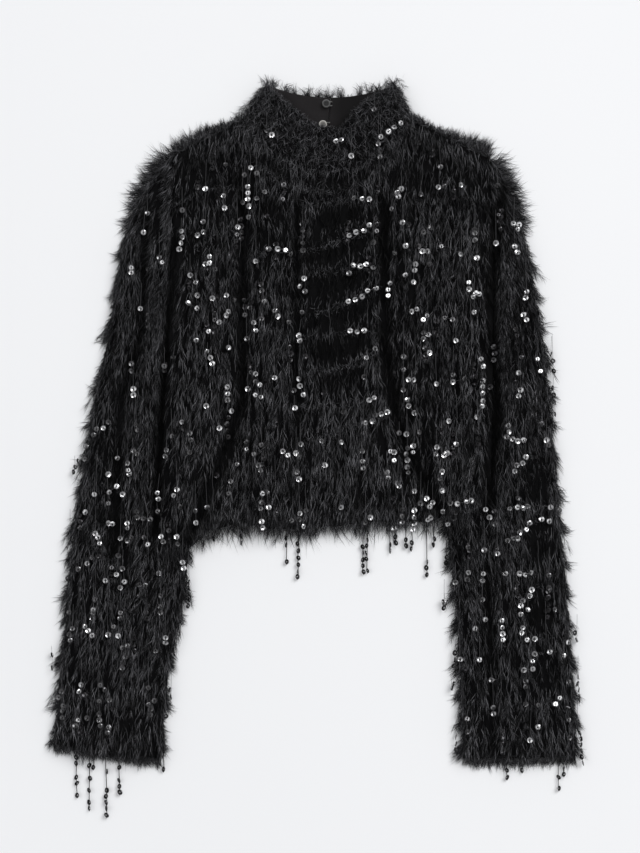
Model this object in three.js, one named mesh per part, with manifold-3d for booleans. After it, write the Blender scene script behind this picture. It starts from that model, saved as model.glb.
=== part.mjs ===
// A cropped high-neck top in black eyelash-fringed cloth, laid flat on its back with the arms down.
// Millimetres, +Z up. X runs across the chest and Y from the hem (0) towards the neck, until the
// last lines move the origin to the bottom centre of the whole top.
import * as THREE from "three";
import { mergeVertices } from "three/addons/utils/BufferGeometryUtils.js";
import Module from "manifold-3d";

const wasm = await Module();
wasm.setup();

// Cloth
const wall = 1.6; // cloth without its pile
const seamGap = 0.35; // between two pieces that are sewn together
const edgeGap = 0.5; // between front and back along the side and shoulder seams
const hollowAtFold = 5.4; // room between front and back under a crease
const hollowAtRidge = 5.0; // what a ridge adds to it
const hollowPlain = 8.9; // room between the layers away from creases
const tuckLift = 10.4; // how far the body's sides are lifted by the sleeves tucked under them
const tuckRamp = 30; // width of the slope up to that lift
const tuckMargin = 6; // how far beside the tucked sleeve the slope ends
const seamFade = 32; // distance over which the layers part beside a seam
const domePower = 2.6; // roundness of a flattened sleeve

// Fringe tiers
const bodyTiers = 11;
const sleevePitch = 37.5;
const pileLow = 1.6; // pile just under the tips of the tier above
const pileHigh = 5.6; // pile at its own tips
const tierStep = 2.6; // length over which a tier ends
const tierRagged = 5; // how unevenly its tips end

// The body's outline, garment laid on its back
const shoulder = { left: [-164, 408], right: [176, 403] };
const underarm = { left: [-172, 190], right: [179, 194] };
const sideEnd = { left: [-182, -24], right: [176, 30] };
const neck = { half: 88, side: 447, frontDip: 54, backDip: 22, softness: 9 };
const hem = [
  { x: -190, y: -26 },
  { x: -150, y: -19 },
  { x: -126, y: 0 },
  { x: -96, y: 7 },
  { x: -50, y: 1 },
  { x: 0, y: 4 },
  { x: 55, y: 9 },
  { x: 105, y: 9 },
  { x: 135, y: 17 },
  { x: 190, y: 31 },
];

// Long soft creases of the front: their line, how far down they run, how deep and how wide
const creases = [
  { high: 345, low: -15, xHigh: -89, xMid: -93, xLow: -137, depth: 1.0, width: 9 },
  { high: 372, low: 100, xHigh: -31, xMid: -32, xLow: -36, depth: 0.8, width: 8 },
  { high: 362, low: 15, xHigh: 60, xMid: 63, xLow: 118, depth: 0.95, width: 9 },
  { high: 330, low: 40, xHigh: 112, xMid: 108, xLow: 120, depth: 0.3, width: 10 },
  { high: 300, low: 30, xHigh: -140, xMid: -137, xLow: -150, depth: 0.3, width: 9 },
];

// Each sleeve from armhole to cuff: outer fold and underarm edge, with its lengthwise crease
const sleeves = {
  left: {
    rows: [
      { outX: -164, outY: 408, inX: -172, inY: 190 },
      { outX: -183, outY: 386, inX: -172.6, inY: 170 },
      { outX: -203, outY: 352, inX: -168, inY: 150 },
      { outX: -219, outY: 308, inX: -156, inY: 128 },
      { outX: -228, outY: 256, inX: -146, inY: 100 },
      { outX: -237, outY: 200, inX: -140, inY: 64 },
      { outX: -250, outY: 140, inX: -140, inY: 26 },
      { outX: -261, outY: 70, inX: -147, inY: -8 },
      { outX: -272, outY: 5, inX: -152, inY: -42 },
      { outX: -279, outY: -70, inX: -158, inY: -88 },
      { outX: -287, outY: -150, inX: -172, inY: -156 },
      { outX: -294, outY: -235, inX: -180, inY: -251 },
    ],
    crease: { across: 0.36, from: 3, to: 9, depth: 0.45, width: 0.07 },
  },
  right: {
    rows: [
      { outX: 176, outY: 403, inX: 179, inY: 194 },
      { outX: 192, outY: 370, inX: 179.6, inY: 173 },
      { outX: 205, outY: 332, inX: 174, inY: 152 },
      { outX: 217, outY: 287, inX: 160, inY: 130 },
      { outX: 226, outY: 240, inX: 145, inY: 102 },
      { outX: 234, outY: 185, inX: 134, inY: 68 },
      { outX: 240, outY: 120, inX: 129, inY: 28 },
      { outX: 246, outY: 55, inX: 131, inY: -8 },
      { outX: 253, outY: -15, inX: 136, inY: -42 },
      { outX: 259, outY: -95, inX: 142, inY: -102 },
      { outX: 265, outY: -175, inX: 146, inY: -176 },
      { outX: 269, outY: -244, inX: 147, inY: -247 },
    ],
    crease: { across: 0.73, from: 6.6, to: 11.5, depth: 0.42, width: 0.06 },
  },
};

// The front's upper collar edge: how far it hangs at places from the left side (-1) to the right
const collarDrape = [
  { at: -1, dip: 0 },
  { at: -0.69, dip: 18 },
  { at: -0.2, dip: 41 },
  { at: 0.15, dip: 45 },
  { at: 0.41, dip: 24 },
  { at: 0.67, dip: 11 },
  { at: 1, dip: 0 },
];

// Stand collar: a flattened band, open at the centre back
const collar = {
  base: { centre: 0, half: 88, side: 447.5, front: 54, back: 20.8, mid: 7.6, rise: 7.0 },
  top: { centre: 4, half: 70, side: 480, back: 12.5, mid: 9.4, rise: 8.0 },
  band: 1.8,
  split: 1.3, // half of the opening at the centre back
  flatness: 0.5,
};
const facing = { thick: 1.0, gap: 0.3, sideTurn: 0.12 };
const button = { radius: 4.5, height: 2.3, shank: 1.3, hole: 0.65, holeOut: 1.5, dish: 0.7 };
const buttonPlaces = [
  { name: "button_upper", down: 0.17, left: 4.2 },
  { name: "button_lower", down: 0.72, left: 5.6 },
];
const loop = { cord: 1.1, around: 2.5, steps: 14 };
const backSlit = { width: 2.6, length: 92 };

const cloth = new THREE.MeshStandardMaterial({ color: 0x17171a, roughness: 0.78, metalness: 0 });
const pile = new THREE.MeshStandardMaterial({ color: 0x1c1c20, roughness: 0.55, metalness: 0 });
const satin = new THREE.MeshStandardMaterial({ color: 0x2c2a2d, roughness: 0.6, metalness: 0 });
const gloss = new THREE.MeshStandardMaterial({ color: 0x0b0b0d, roughness: 0.2, metalness: 0 });

const clamp01 = (x) => Math.min(1, Math.max(0, x));
const mix = (a, b, k) => a + (b - a) * k;
const smooth = (from, to, x) => {
  const k = clamp01((x - from) / (to - from));
  return k * k * (3 - 2 * k);
};
const bell = (x, width) => Math.exp(-((x / width) ** 2));
const dome = (s) => (1 - Math.abs(2 * s - 1) ** domePower) ** (1 / domePower);
// A fixed unevenness from -1 to 1 for each pair of whole numbers.
const uneven = (i, j) => {
  const v = Math.sin(i * 12.9898 + j * 78.233) * 43758.5453;
  return 2 * (v - Math.floor(v)) - 1;
};

// Smooth value between the values of evenly numbered rows.
function between(values, at) {
  const last = values.length - 1;
  const i = Math.min(last - 1, Math.max(0, Math.floor(at)));
  const k = at - i;
  const [a, b, c, d] = [Math.max(0, i - 1), i, i + 1, Math.min(last, i + 2)].map((n) => values[n]);
  const [m, n] = [(c - a) / 2, (d - b) / 2];
  return (2 * k ** 3 - 3 * k ** 2 + 1) * b + (k ** 3 - 2 * k ** 2 + k) * m
    + (3 * k ** 2 - 2 * k ** 3) * c + (k ** 3 - k ** 2) * n;
}

function hemY(x) {
  let i = 0;
  while (i < hem.length - 2 && x > hem[i + 1].x) i++;
  return mix(hem[i].y, hem[i + 1].y, smooth(hem[i].x, hem[i + 1].x, x));
}

// The side edge: straight along the armhole, then down the side seam.
function sideX(side, y) {
  const [s, u, e] = [shoulder[side], underarm[side], sideEnd[side]];
  if (y >= u[1]) return mix(s[0], u[0], (s[1] - y) / (s[1] - u[1]));
  return mix(u[0], e[0], (u[1] - y) / (u[1] - e[1]));
}

// The panel's upper edge: the neckline between the two shoulder seams.
function topY(x, dip) {
  const out = Math.abs(x);
  if (out < neck.half) return neck.side - dip * (1 - (out / neck.half) ** 2);
  const [sx, sy] = shoulder[x < 0 ? "left" : "right"];
  return mix(neck.side, sy, (out - neck.half) / (Math.abs(sx) - neck.half));
}

// x of a sleeve's underarm edge at height y.
function innerX(side, y) {
  const rows = sleeves[side].rows;
  for (let i = 0; i < rows.length - 1; i++)
    if (y <= rows[i].inY && y >= rows[i + 1].inY)
      return mix(rows[i].inX, rows[i + 1].inX, (rows[i].inY - y) / (rows[i].inY - rows[i + 1].inY));
  return sideX(side, y);
}

// Height of the back's underside: on the floor, and lifted at the sides by the tucked sleeves.
function backFloor(x, y) {
  const side = x < 0 ? "left" : "right";
  const [s, u] = [shoulder[side], underarm[side]];
  const along = smooth(s[1], u[1], y);
  const edge = Math.abs(innerX(side, y));
  return tuckLift * along * smooth(edge - tuckMargin - tuckRamp, edge - tuckMargin, Math.abs(x));
}

function creaseDepth(x, y) {
  let depth = 0;
  for (const c of creases) {
    const k = clamp01((c.high - y) / (c.high - c.low));
    const line = k < 0.5 ? mix(c.xHigh, c.xMid, k * 2) : mix(c.xMid, c.xLow, smooth(0.5, 1, k));
    const fade = smooth(c.high + 12, c.high - 40, y) * smooth(c.low - 8, c.low + 45, y);
    depth += c.depth * fade * bell(x - line, c.width);
  }
  return Math.min(1, depth);
}

// Room between front and back at a point of the front.
function bodyHollow(x, y) {
  const side = x < 0 ? "left" : "right";
  const s = (shoulder[side][1] - y) / (shoulder[side][1] - underarm[side][1]);
  const armhole = s > 0 && s < 1 ? dome(s) : 0;
  const fromSide = Math.abs(sideX(side, y)) - Math.abs(x);
  const fromTop = topY(x, neck.frontDip) - y;
  const open = 1 - smooth(neck.half - neck.softness, neck.half + neck.softness, Math.abs(x));
  const sideOpen = mix(armhole, 1, smooth(0, seamFade, fromSide));
  const topOpen = mix(open, 1, smooth(0, seamFade, fromTop));
  const roll = smooth(0, seamFade, fromSide) * smooth(0, seamFade, fromTop);
  const rippled = hollowAtFold + hollowAtRidge * (1 - creaseDepth(x, y));
  return edgeGap + (mix(hollowPlain, rippled, roll) - edgeGap) * sideOpen * topOpen;
}

// Pile depth: it thickens towards a tier's tips. Column 0 and the last stay even at the seams.
const pileAt = (atTips) => (atTips ? pileHigh : pileLow);

// One closed body from a grid of upper and lower points.
function slab(upper, lower) {
  const [rows, cols] = [upper.length, upper[0].length];
  const points = [...upper.flat(), ...lower.flat()];
  const faces = [];
  const up = (i, j) => i * cols + j;
  const low = (i, j) => rows * cols + i * cols + j;
  const quad = (a, b, c, d) => faces.push(a, b, c, a, c, d);
  for (let i = 0; i < rows - 1; i++)
    for (let j = 0; j < cols - 1; j++) {
      quad(up(i, j), up(i + 1, j), up(i + 1, j + 1), up(i, j + 1));
      quad(low(i, j), low(i, j + 1), low(i + 1, j + 1), low(i + 1, j));
    }
  for (let i = 0; i < rows - 1; i++) {
    quad(up(i, 0), low(i, 0), low(i + 1, 0), up(i + 1, 0));
    quad(up(i, cols - 1), up(i + 1, cols - 1), low(i + 1, cols - 1), low(i, cols - 1));
  }
  for (let j = 0; j < cols - 1; j++) {
    quad(up(0, j), up(0, j + 1), low(0, j + 1), low(0, j));
    quad(up(rows - 1, j), low(rows - 1, j), low(rows - 1, j + 1), up(rows - 1, j + 1));
  }
  return geometryOf(points, faces);
}

// One closed tube wall from rings of outer and inner points. The rings have equal counts.
function tubeWall(outer, inner) {
  const n = outer[0].length;
  const points = [...outer.flat(), ...inner.flat()];
  const start = outer.length * n;
  const faces = [];
  const quad = (a, b, c, d) => faces.push(a, b, c, a, c, d);
  const skin = (rings, offset, turned) => {
    for (let i = 0; i < rings.length - 1; i++)
      for (let j = 0; j < n; j++) {
        const k = (j + 1) % n;
        const [a, b, c, d] = [i * n + j, (i + 1) * n + j, (i + 1) * n + k, i * n + k];
        const ring = turned ? [a, d, c, b] : [a, b, c, d];
        quad(...ring.map((v) => v + offset));
      }
  };
  skin(outer, 0, false);
  skin(inner, start, true);
  const [lastOut, lastIn] = [(outer.length - 1) * n, start + (inner.length - 1) * n];
  for (let j = 0; j < n; j++) {
    const k = (j + 1) % n;
    quad(j, k, start + k, start + j);
    quad(lastOut + k, lastOut + j, lastIn + j, lastIn + k);
  }
  return geometryOf(points, faces);
}

function geometryOf(points, faces) {
  const flat = new Float32Array(points.flat());
  return new THREE.BufferGeometry()
    .setAttribute("position", new THREE.BufferAttribute(flat, 3))
    .setIndex(faces);
}

// Turns a closed geometry round if its faces point inwards.
function facingOut(geometry) {
  const p = geometry.getAttribute("position");
  const index = geometry.getIndex().array;
  const at = (i) => new THREE.Vector3().fromBufferAttribute(p, i);
  let volume = 0;
  for (let i = 0; i < index.length; i += 3)
    volume += at(index[i]).dot(at(index[i + 1]).cross(at(index[i + 2])));
  if (volume > 0) return geometry;
  const turned = [];
  for (let i = 0; i < index.length; i += 3) turned.push(index[i], index[i + 2], index[i + 1]);
  return geometry.setIndex(turned);
}

function solidOf(geometry) {
  const bare = geometry.clone();
  for (const extra of ["normal", "uv"]) bare.deleteAttribute(extra);
  const merged = facingOut(mergeVertices(bare, 1e-4));
  const vertProperties = new Float32Array(merged.getAttribute("position").array);
  const triVerts = new Uint32Array(merged.getIndex().array);
  return new wasm.Manifold(new wasm.Mesh({ numProp: 3, vertProperties, triVerts }));
}

function geometryFrom(solid) {
  const mesh = solid.getMesh();
  return new THREE.BufferGeometry()
    .setAttribute("position", new THREE.BufferAttribute(new Float32Array(mesh.vertProperties), 3))
    .setIndex([...mesh.triVerts]);
}

const shirt = new THREE.Group();
shirt.name = "shirt";

function add(name, geometry, material) {
  const mesh = new THREE.Mesh(facingOut(geometry), material);
  mesh.name = name;
  shirt.add(mesh);
  return mesh;
}

// A point of a body panel: across from 0 (left side) to 1, down from 0 (shoulder and neck) to 1.
function panelXY(across, down, dip) {
  const xTop = mix(shoulder.left[0], shoulder.right[0], across);
  const top = topY(xTop, dip);
  const y = mix(top, hemY(mix(sideEnd.left[0], sideEnd.right[0], across)), down);
  return [mix(sideX("left", y), sideX("right", y), across), y];
}

// Share of the way down at each row of the front: two rows at each tier's tips, one on each side
// of the step.
function tierRows(tiers, length) {
  const rows = [{ down: 0, tips: false }];
  for (let k = 1; k < tiers; k++) {
    rows.push({ down: k / tiers - tierStep / length / 2, tips: true, tier: k });
    rows.push({ down: k / tiers + tierStep / length / 2, tips: false, tier: k });
  }
  return [...rows, { down: 1, tips: true }];
}

// Places across a panel: close together at the sides, and as many in the middle as asked for.
function placesAcross(middle) {
  const side = [0, 0.022, 0.046, 0.072, 0.1, 0.135];
  const last = side.at(-1);
  const places = [...side];
  for (let k = 1; k < middle; k++) places.push(mix(last, 1 - last, k / middle));
  return [...places, ...side.map((p) => 1 - p).reverse()];
}

function frontPanel() {
  const places = placesAcross(17);
  const length = neck.side - neck.frontDip;
  const [upper, lower] = [[], []];
  for (const row of tierRows(bodyTiers, length)) {
    const [up, low] = [[], []];
    for (const [j, across] of places.entries()) {
      const inside = smooth(0, 0.06, across) * smooth(1, 0.94, across);
      const shift = row.tier ? (inside * tierRagged * uneven(row.tier, j)) / length : 0;
      const [x, y] = panelXY(across, row.down + shift, neck.frontDip);
      const z = backFloor(x, y) + wall + bodyHollow(x, y);
      const depth = pileAt(row.tips) * mix(0.25, 1, inside) * (1 + 0.15 * uneven(j, row.tier ?? 0));
      low.push([x, y, z]);
      up.push([x, y, z + wall + depth]);
    }
    upper.push(up);
    lower.push(low);
  }
  add("front_panel", slab(upper, lower), pile);
  return { edge: lower.at(-1).map(([x, y, z]) => [x, y, z + wall / 2]) };
}

function backPanel() {
  const rows = 20;
  const [upper, lower] = [[], []];
  for (let i = 0; i <= rows; i++) {
    const [up, low] = [[], []];
    for (const across of placesAcross(10)) {
      const [x, y] = panelXY(across, i / rows, neck.backDip);
      const z = backFloor(x, y);
      low.push([x, y, z]);
      up.push([x, y, z + wall]);
    }
    upper.push(up);
    lower.push(low);
  }
  const panel = solidOf(slab(upper, lower));
  const slit = new THREE.BoxGeometry(backSlit.width, 2 * backSlit.length, 8);
  slit.translate(0, neck.side - neck.backDip, 0);
  add("back_panel", geometryFrom(panel.subtract(solidOf(slit))), cloth);
  return { shoulders: upper[0].map(([x, y, z]) => [x, y, z - wall / 2]) };
}

// The sleeve's outline at a row number that need not be whole.
function sleeveEdges(side, at) {
  const rows = sleeves[side].rows;
  const value = (key) => between(rows.map((r) => r[key]), at);
  const out = side === "left" ? -seamGap : seamGap;
  const free = smooth(0.6, 1.6, at); // past the armhole seam the underarm edge is free
  return {
    outer: [value("outX") + out, value("outY")],
    inner: [value("inX") + out * (1 - free), value("inY")],
  };
}

// Row numbers at even distances down the outer fold.
function sleeveStations(side) {
  const steps = 330;
  const last = sleeves[side].rows.length - 1;
  let [length, before] = [0, sleeveEdges(side, 0).outer];
  const run = [{ at: 0, length: 0 }];
  for (let i = 1; i <= steps; i++) {
    const point = sleeveEdges(side, (i / steps) * last).outer;
    length += Math.hypot(point[0] - before[0], point[1] - before[1]);
    run.push({ at: (i / steps) * last, length });
    before = point;
  }
  const at = (distance) => run.find((r) => r.length >= distance - 1e-6)?.at ?? last;
  const tiers = Math.round(length / sleevePitch);
  return tierRows(tiers, length).map((row) => ({ ...row, at: at(row.down * length), length }));
}

// How much the body lies on the sleeve at a point: 1 under it, 0 well beside it.
function pressed(side, x, y, at) {
  const beside = Math.abs(x) - Math.abs(sideX(side, y));
  const below = smooth(hemY(x) - 34, hemY(x) - 6, y);
  return { soft: (1 - smooth(3, 28, beside)) * below * smooth(0.4, 1.1, at),
    bare: (1 - smooth(7, 16, beside)) * below * smooth(0.4, 1.1, at) };
}

function sleeveSection(side, at, s) {
  const { outer, inner } = sleeveEdges(side, at);
  const [x, y] = [mix(outer[0], inner[0], s), mix(outer[1], inner[1], s)];
  const crease = sleeves[side].crease;
  const begin = smooth(crease.from - 0.8, crease.from + 0.8, at);
  const run = begin * smooth(crease.to + 0.8, crease.to - 0.8, at);
  const { soft, bare } = pressed(side, x, y, at);
  const room = (1 - 0.42 * soft) * (1 - crease.depth * run * bell(s - crease.across, crease.width));
  const low = tuckLift * smooth(0, 1, s) * (1 - smooth(0, 1, at));
  return { x, y, low, room, bare };
}

// One ring round a sleeve: over its top from the outer fold to the underarm edge, then back below.
// inset is how far in from the folds it runs, in shares of the width, and bevel the same for its
// lower corners. depthAt gives the cloth and pile over the hollow.
function sleeveRing(side, at, inset, bevel, depthAt) {
  const [over, under] = [14, 6];
  const edge = wall + edgeGap / 2;
  const ring = [];
  for (let i = 0; i <= over; i++) {
    const s = 0.5 - 0.5 * Math.cos((Math.PI * i) / over);
    const p = sleeveSection(side, at, mix(inset, 1 - inset, s));
    const high = (hollowPlain - edgeGap) * p.room + edgeGap / 2 + depthAt(i, p.bare);
    ring.push([p.x, p.y, p.low + edge + high * (i === over ? 0 : dome(s))]);
  }
  for (let i = 0; i <= under; i++) {
    const p = sleeveSection(side, at, mix(1 - inset - bevel, inset + bevel, i / under));
    ring.push([p.x, p.y, p.low + (inset ? wall : 0)]);
  }
  return ring;
}

function sleeve(side) {
  const stations = sleeveStations(side);
  const outer = stations.map((row, n) => {
    const depth = (i) => pileAt(row.tips) * (1 + 0.2 * uneven(n, i));
    return sleeveRing(side, row.at, 0, 0.022, (i, bare) => wall + depth(i) * (1 - bare));
  });
  const innerRows = 13;
  const last = sleeves[side].rows.length - 1;
  const inner = [...Array(innerRows + 1)].map((_, i) =>
    sleeveRing(side, (i / innerRows) * last, 0.016, 0.01, () => 0),
  );
  add(`sleeve_${side}`, tubeWall(outer, inner), pile);
  return { stations, outer };
}

const front = frontPanel();
const back = backPanel();
const arms = { left: sleeve("left"), right: sleeve("right") };

function drapeDip(at) {
  let i = 0;
  while (i < collarDrape.length - 2 && at > collarDrape[i + 1].at) i++;
  const [a, b] = [collarDrape[i], collarDrape[i + 1]];
  return mix(a.dip, b.dip, (at - a.at) / (b.at - a.at));
}

// The flattened collar band at an angle round the neck (0 at the right side, a quarter turn at the
// centre back) and a height from 0 at its seam to 1 at its top, set in by a distance.
function collarPoint(angle, high, inset) {
  const [b, t] = [collar.base, collar.top];
  const v = (key) => mix(b[key], t[key], high);
  const sin = Math.sin(angle);
  const flat = Math.sign(sin) * Math.abs(sin) ** collar.flatness;
  const back = v("back") * sin * sin;
  const front = mix(b.front * sin * sin, drapeDip(Math.cos(angle)), high);
  return [
    v("centre") + (v("half") - inset) * Math.cos(angle),
    v("side") - (sin > 0 ? back : front),
    v("mid") - (v("rise") - inset) * flat,
  ];
}

// Angles from one edge of the centre back opening round the front to the other.
const splitAngle = Math.asin(collar.split / collar.base.half);

function collarBand() {
  const [around, up] = [44, 4];
  const [outside, inside] = [[], []];
  for (let i = 0; i <= around; i++) {
    const angle = mix(Math.PI / 2 + splitAngle, 2.5 * Math.PI - splitAngle, i / around);
    const [a, b] = [[], []];
    for (let j = 0; j <= up; j++) {
      const high = j / up;
      const front = Math.max(0, -Math.sin(angle));
      const depth = front * mix(pileHigh, pileLow, high) * (1 + 0.2 * uneven(i, j)) * (j < up ? 1 : 0.2);
      const [x, y, z] = collarPoint(angle, high, 0);
      a.push([x, y, z + depth]);
      b.push(collarPoint(angle, high, collar.band));
    }
    outside.push(a);
    inside.push(b);
  }
  add("collar", slab(outside, inside), pile);
  return { topEdge: outside.map((column) => column.at(-1)) };
}

function facingHalf(side) {
  const [around, up] = [9, 3];
  const away = side === "left" ? 1 : -1;
  const near = Math.PI / 2 + away * splitAngle * 1.25;
  const far = Math.PI / 2 + away * (Math.PI / 2 - facing.sideTurn);
  const [outside, inside] = [[], []];
  for (let i = 0; i <= around; i++) {
    const angle = mix(near, far, i / around);
    const [a, b] = [[], []];
    for (let j = 0; j <= up; j++) {
      const high = mix(0.04, 1, j / up);
      a.push(collarPoint(angle, high, collar.band + facing.gap));
      b.push(collarPoint(angle, high, collar.band + facing.gap + facing.thick));
    }
    outside.push(a);
    inside.push(b);
  }
  add(`facing_${side}`, slab(outside, inside), satin);
}

// A button on its shank, with a dished face and four holes, standing on the left facing.
function buttonOn(place) {
  const high = 1 - place.down;
  const seat = collarPoint(Math.PI / 2 + 0.05, high, collar.band + facing.gap + facing.thick);
  const centreX = mix(collar.base.centre, collar.top.centre, high) - place.left;
  const { radius, height, shank, dish } = button;
  const profile = [
    [0, 0],
    [shank, 0],
    [shank, 1.5],
    [radius - 0.9, 1.5],
    [radius, 2.1],
    [radius, 1.5 + height - 0.5],
    [radius - 0.5, 1.5 + height],
    [radius - 1.2, 1.5 + height],
    [radius - 1.8, 1.5 + height - dish],
    [0, 1.5 + height - dish],
  ].map(([r, z]) => new THREE.Vector2(r, z));
  let solid = solidOf(new THREE.LatheGeometry(profile, 16).rotateX(Math.PI / 2));
  for (let k = 0; k < 4; k++) {
    const turn = (k + 0.5) * (Math.PI / 2);
    const hole = new THREE.CylinderGeometry(button.hole, button.hole, 3, 6).rotateX(Math.PI / 2);
    hole.translate(button.holeOut * Math.cos(turn), button.holeOut * Math.sin(turn), 3.4);
    solid = solid.subtract(solidOf(hole));
  }
  const z = seat[2] + 0.3;
  add(place.name, geometryFrom(solid).translate(centreX, seat[1], z), gloss);
  return { x: centreX, y: seat[1], z: z + 0.75 };
}

// A cord loop from the right facing's edge round the button's shank.
function loopRound(place, centre) {
  const [r, reach] = [loop.around, place.left + 2.2];
  const path = [];
  for (let k = 0; k <= loop.steps; k++) {
    const turn = mix(-Math.PI / 2, -1.5 * Math.PI, k / loop.steps);
    path.push(new THREE.Vector3(r * Math.cos(turn), r * Math.sin(turn), 0));
  }
  path.unshift(new THREE.Vector3(reach, -r * 0.8, 0.5));
  path.push(new THREE.Vector3(reach, r * 0.8, 0.5));
  const section = new THREE.Shape(
    [...Array(6)].map((_, k) => {
      const turn = (k * Math.PI) / 3;
      return new THREE.Vector2(Math.cos(turn), Math.sin(turn)).multiplyScalar(loop.cord / 2);
    }),
  );
  const curve = new THREE.CatmullRomCurve3(path, false, "centripetal");
  const cord = new THREE.ExtrudeGeometry(section, { steps: 18, extrudePath: curve, bevelEnabled: false });
  const made = geometryFrom(solidOf(cord)).translate(centre.x, centre.y, centre.z);
  add(place.name.replace("button", "loop"), made, cloth);
}

const band = collarBand();
facingHalf("left");
facingHalf("right");
for (const place of buttonPlaces) loopRound(place, buttonOn(place));

// Fringe: locks with their roots in a narrow tape along an edge. line is the edge, out points away
// from the cloth at each of its points, and each lock has a place along the line and a direction.
function fringe(name, line, out, locks) {
  const tape = { deep: 2.2, thick: 1.5 };
  const rings = line.map((p, i) => {
    const corner = (o, z) => [p[0] + out[i][0] * o, p[1] + out[i][1] * o, p[2] + z];
    const [near, far, half] = [seamGap, seamGap + tape.deep, tape.thick / 2];
    return [corner(near, -half), corner(far, -half), corner(far, half), corner(near, half)];
  });
  const points = rings.flat();
  const faces = [0, 1, 2, 0, 2, 3];
  for (let i = 0; i < rings.length - 1; i++)
    for (let j = 0; j < 4; j++) {
      const k = (j + 1) % 4;
      const [a, b, c, d] = [i * 4 + j, i * 4 + k, (i + 1) * 4 + k, (i + 1) * 4 + j];
      faces.push(a, d, c, a, c, b);
    }
  const e = (rings.length - 1) * 4;
  faces.push(e, e + 2, e + 1, e, e + 3, e + 2);
  let solid = solidOf(geometryOf(points, faces));
  for (const lock of locks) {
    const at = lock.at * (line.length - 1);
    const i = Math.min(line.length - 2, Math.floor(at));
    const k = at - i;
    const root = [0, 1, 2].map((n) => mix(line[i][n], line[i + 1][n], k));
    const way = [0, 1].map((n) => mix(out[i][n], out[i + 1][n], k));
    const start = new THREE.Vector3(root[0] + way[0] * 1.75, root[1] + way[1] * 1.75, root[2]);
    solid = solid.add(solidOf(lockShape(start, lock)));
  }
  add(name, geometryFrom(solid), pile);
}

// A four-sided lock or strand from its root through its bends to its tip. widths has one entry
// for each point, and 0 makes a pointed tip.
function lockShape(start, lock) {
  const stops = [start, ...lock.bends.map((b) => new THREE.Vector3(...b).add(start))];
  stops.forEach((p) => (p.z = Math.max(p.z, 0.9)));
  const first = stops[1].clone().sub(start).setZ(0).normalize();
  const side = new THREE.Vector3(-first.y, first.x, 0);
  const points = [];
  stops.forEach((p, i) => {
    const [w, h] = [lock.widths[i] / 2, Math.min(lock.widths[i], 1.2) / 2];
    if (w) for (const [a, b] of [[-w, -h], [w, -h], [w, h], [-w, h]])
      points.push([p.x + side.x * a, p.y + side.y * a, p.z + b]);
    else points.push([p.x, p.y, p.z]);
  });
  const faces = [0, 2, 1, 0, 3, 2];
  const full = lock.widths.filter((w) => w > 0).length;
  for (let i = 0; i < full - 1; i++)
    for (let j = 0; j < 4; j++) {
      const k = (j + 1) % 4;
      const [a, b, c, d] = [i * 4 + j, i * 4 + k, (i + 1) * 4 + k, (i + 1) * 4 + j];
      faces.push(a, b, c, a, c, d);
    }
  const e = (full - 1) * 4;
  if (full === lock.widths.length) faces.push(e, e + 1, e + 2, e, e + 2, e + 3);
  else for (let j = 0; j < 4; j++) faces.push(e + j, e + ((j + 1) % 4), e + 4);
  return geometryOf(points, faces);
}

// Locks at even places that follow one direction, each a little different.
function locksAlong(count, from, to, way, reach, drop, seed) {
  return [...Array(count)].map((_, k) => {
    const at = mix(from, to, (k + 0.5 + 0.25 * uneven(k, seed)) / count);
    const turn = 0.35 * uneven(seed, k);
    const [wx, wy] = way(at);
    const [c, s] = [Math.cos(turn), Math.sin(turn)];
    const length = reach * (1 + 0.28 * uneven(k + 7, seed));
    const tip = [(wx * c - wy * s) * length, (wx * s + wy * c) * length, drop];
    return { at, bends: [tip], widths: [2.4, 0] };
  });
}

// A hanging strand of sequins that has come to lie on the surface.
const strand = (at, length, height, lean = 0) => ({
  at,
  bends: [
    [lean * 0.3, -Math.min(20, length * 0.6), -1.2],
    [lean, -length, -Math.min(height, length * 0.2)],
  ],
  widths: [1.6, 1.6, 1.6],
});

const normalsOf = (line, turn) =>
  line.map((_, i) => {
    const [a, b] = [line[Math.max(0, i - 1)], line[Math.min(line.length - 1, i + 1)]];
    const d = new THREE.Vector2(b[0] - a[0], b[1] - a[1]).normalize();
    return [d.y * turn, -d.x * turn];
  });
const down = () => [0, -1];

// The front's hem: fringe, and the sequin strands that hang past it
const hemStrands = [
  { x: -121, length: 18 },
  { x: -92, length: 17 },
  { x: -43, length: 38 },
  { x: -31, length: 48 },
  { x: 37, length: 46 },
  { x: 41.5, length: 47 },
  { x: 68, length: 24 },
  { x: 74, length: 17 },
  { x: 84, length: 15 },
  { x: 90.5, length: 25 },
  { x: 107, length: 49 },
  { x: 117, length: 16 },
];

function hemFringe() {
  const line = front.edge.slice(3, -5);
  const [left, right] = [line[0][0], line.at(-1)[0]];
  const strands = hemStrands.map((s) => strand((s.x - left) / (right - left), s.length, 8));
  const locks = locksAlong(30, 0.01, 0.99, down, 12.5, -3.5, 3);
  fringe("hem_fringe", line, line.map(() => [0, -1]), [...locks, ...strands]);
}

// The cuffs' lower edges, with their strands
const cuffStrands = {
  left: [
    { at: 0.17, length: 38, lean: 0 },
    { at: 0.29, length: 53, lean: 3 },
    { at: 0.42, length: 60, lean: 1 },
    { at: 0.55, length: 32, lean: 1 },
    { at: 0.96, length: 12, lean: 0 },
  ],
  right: [
    { at: 0.19, length: 27, lean: 1 },
    { at: 0.23, length: 14, lean: 1 },
    { at: 0.6, length: 13, lean: 0 },
  ],
};

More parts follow.
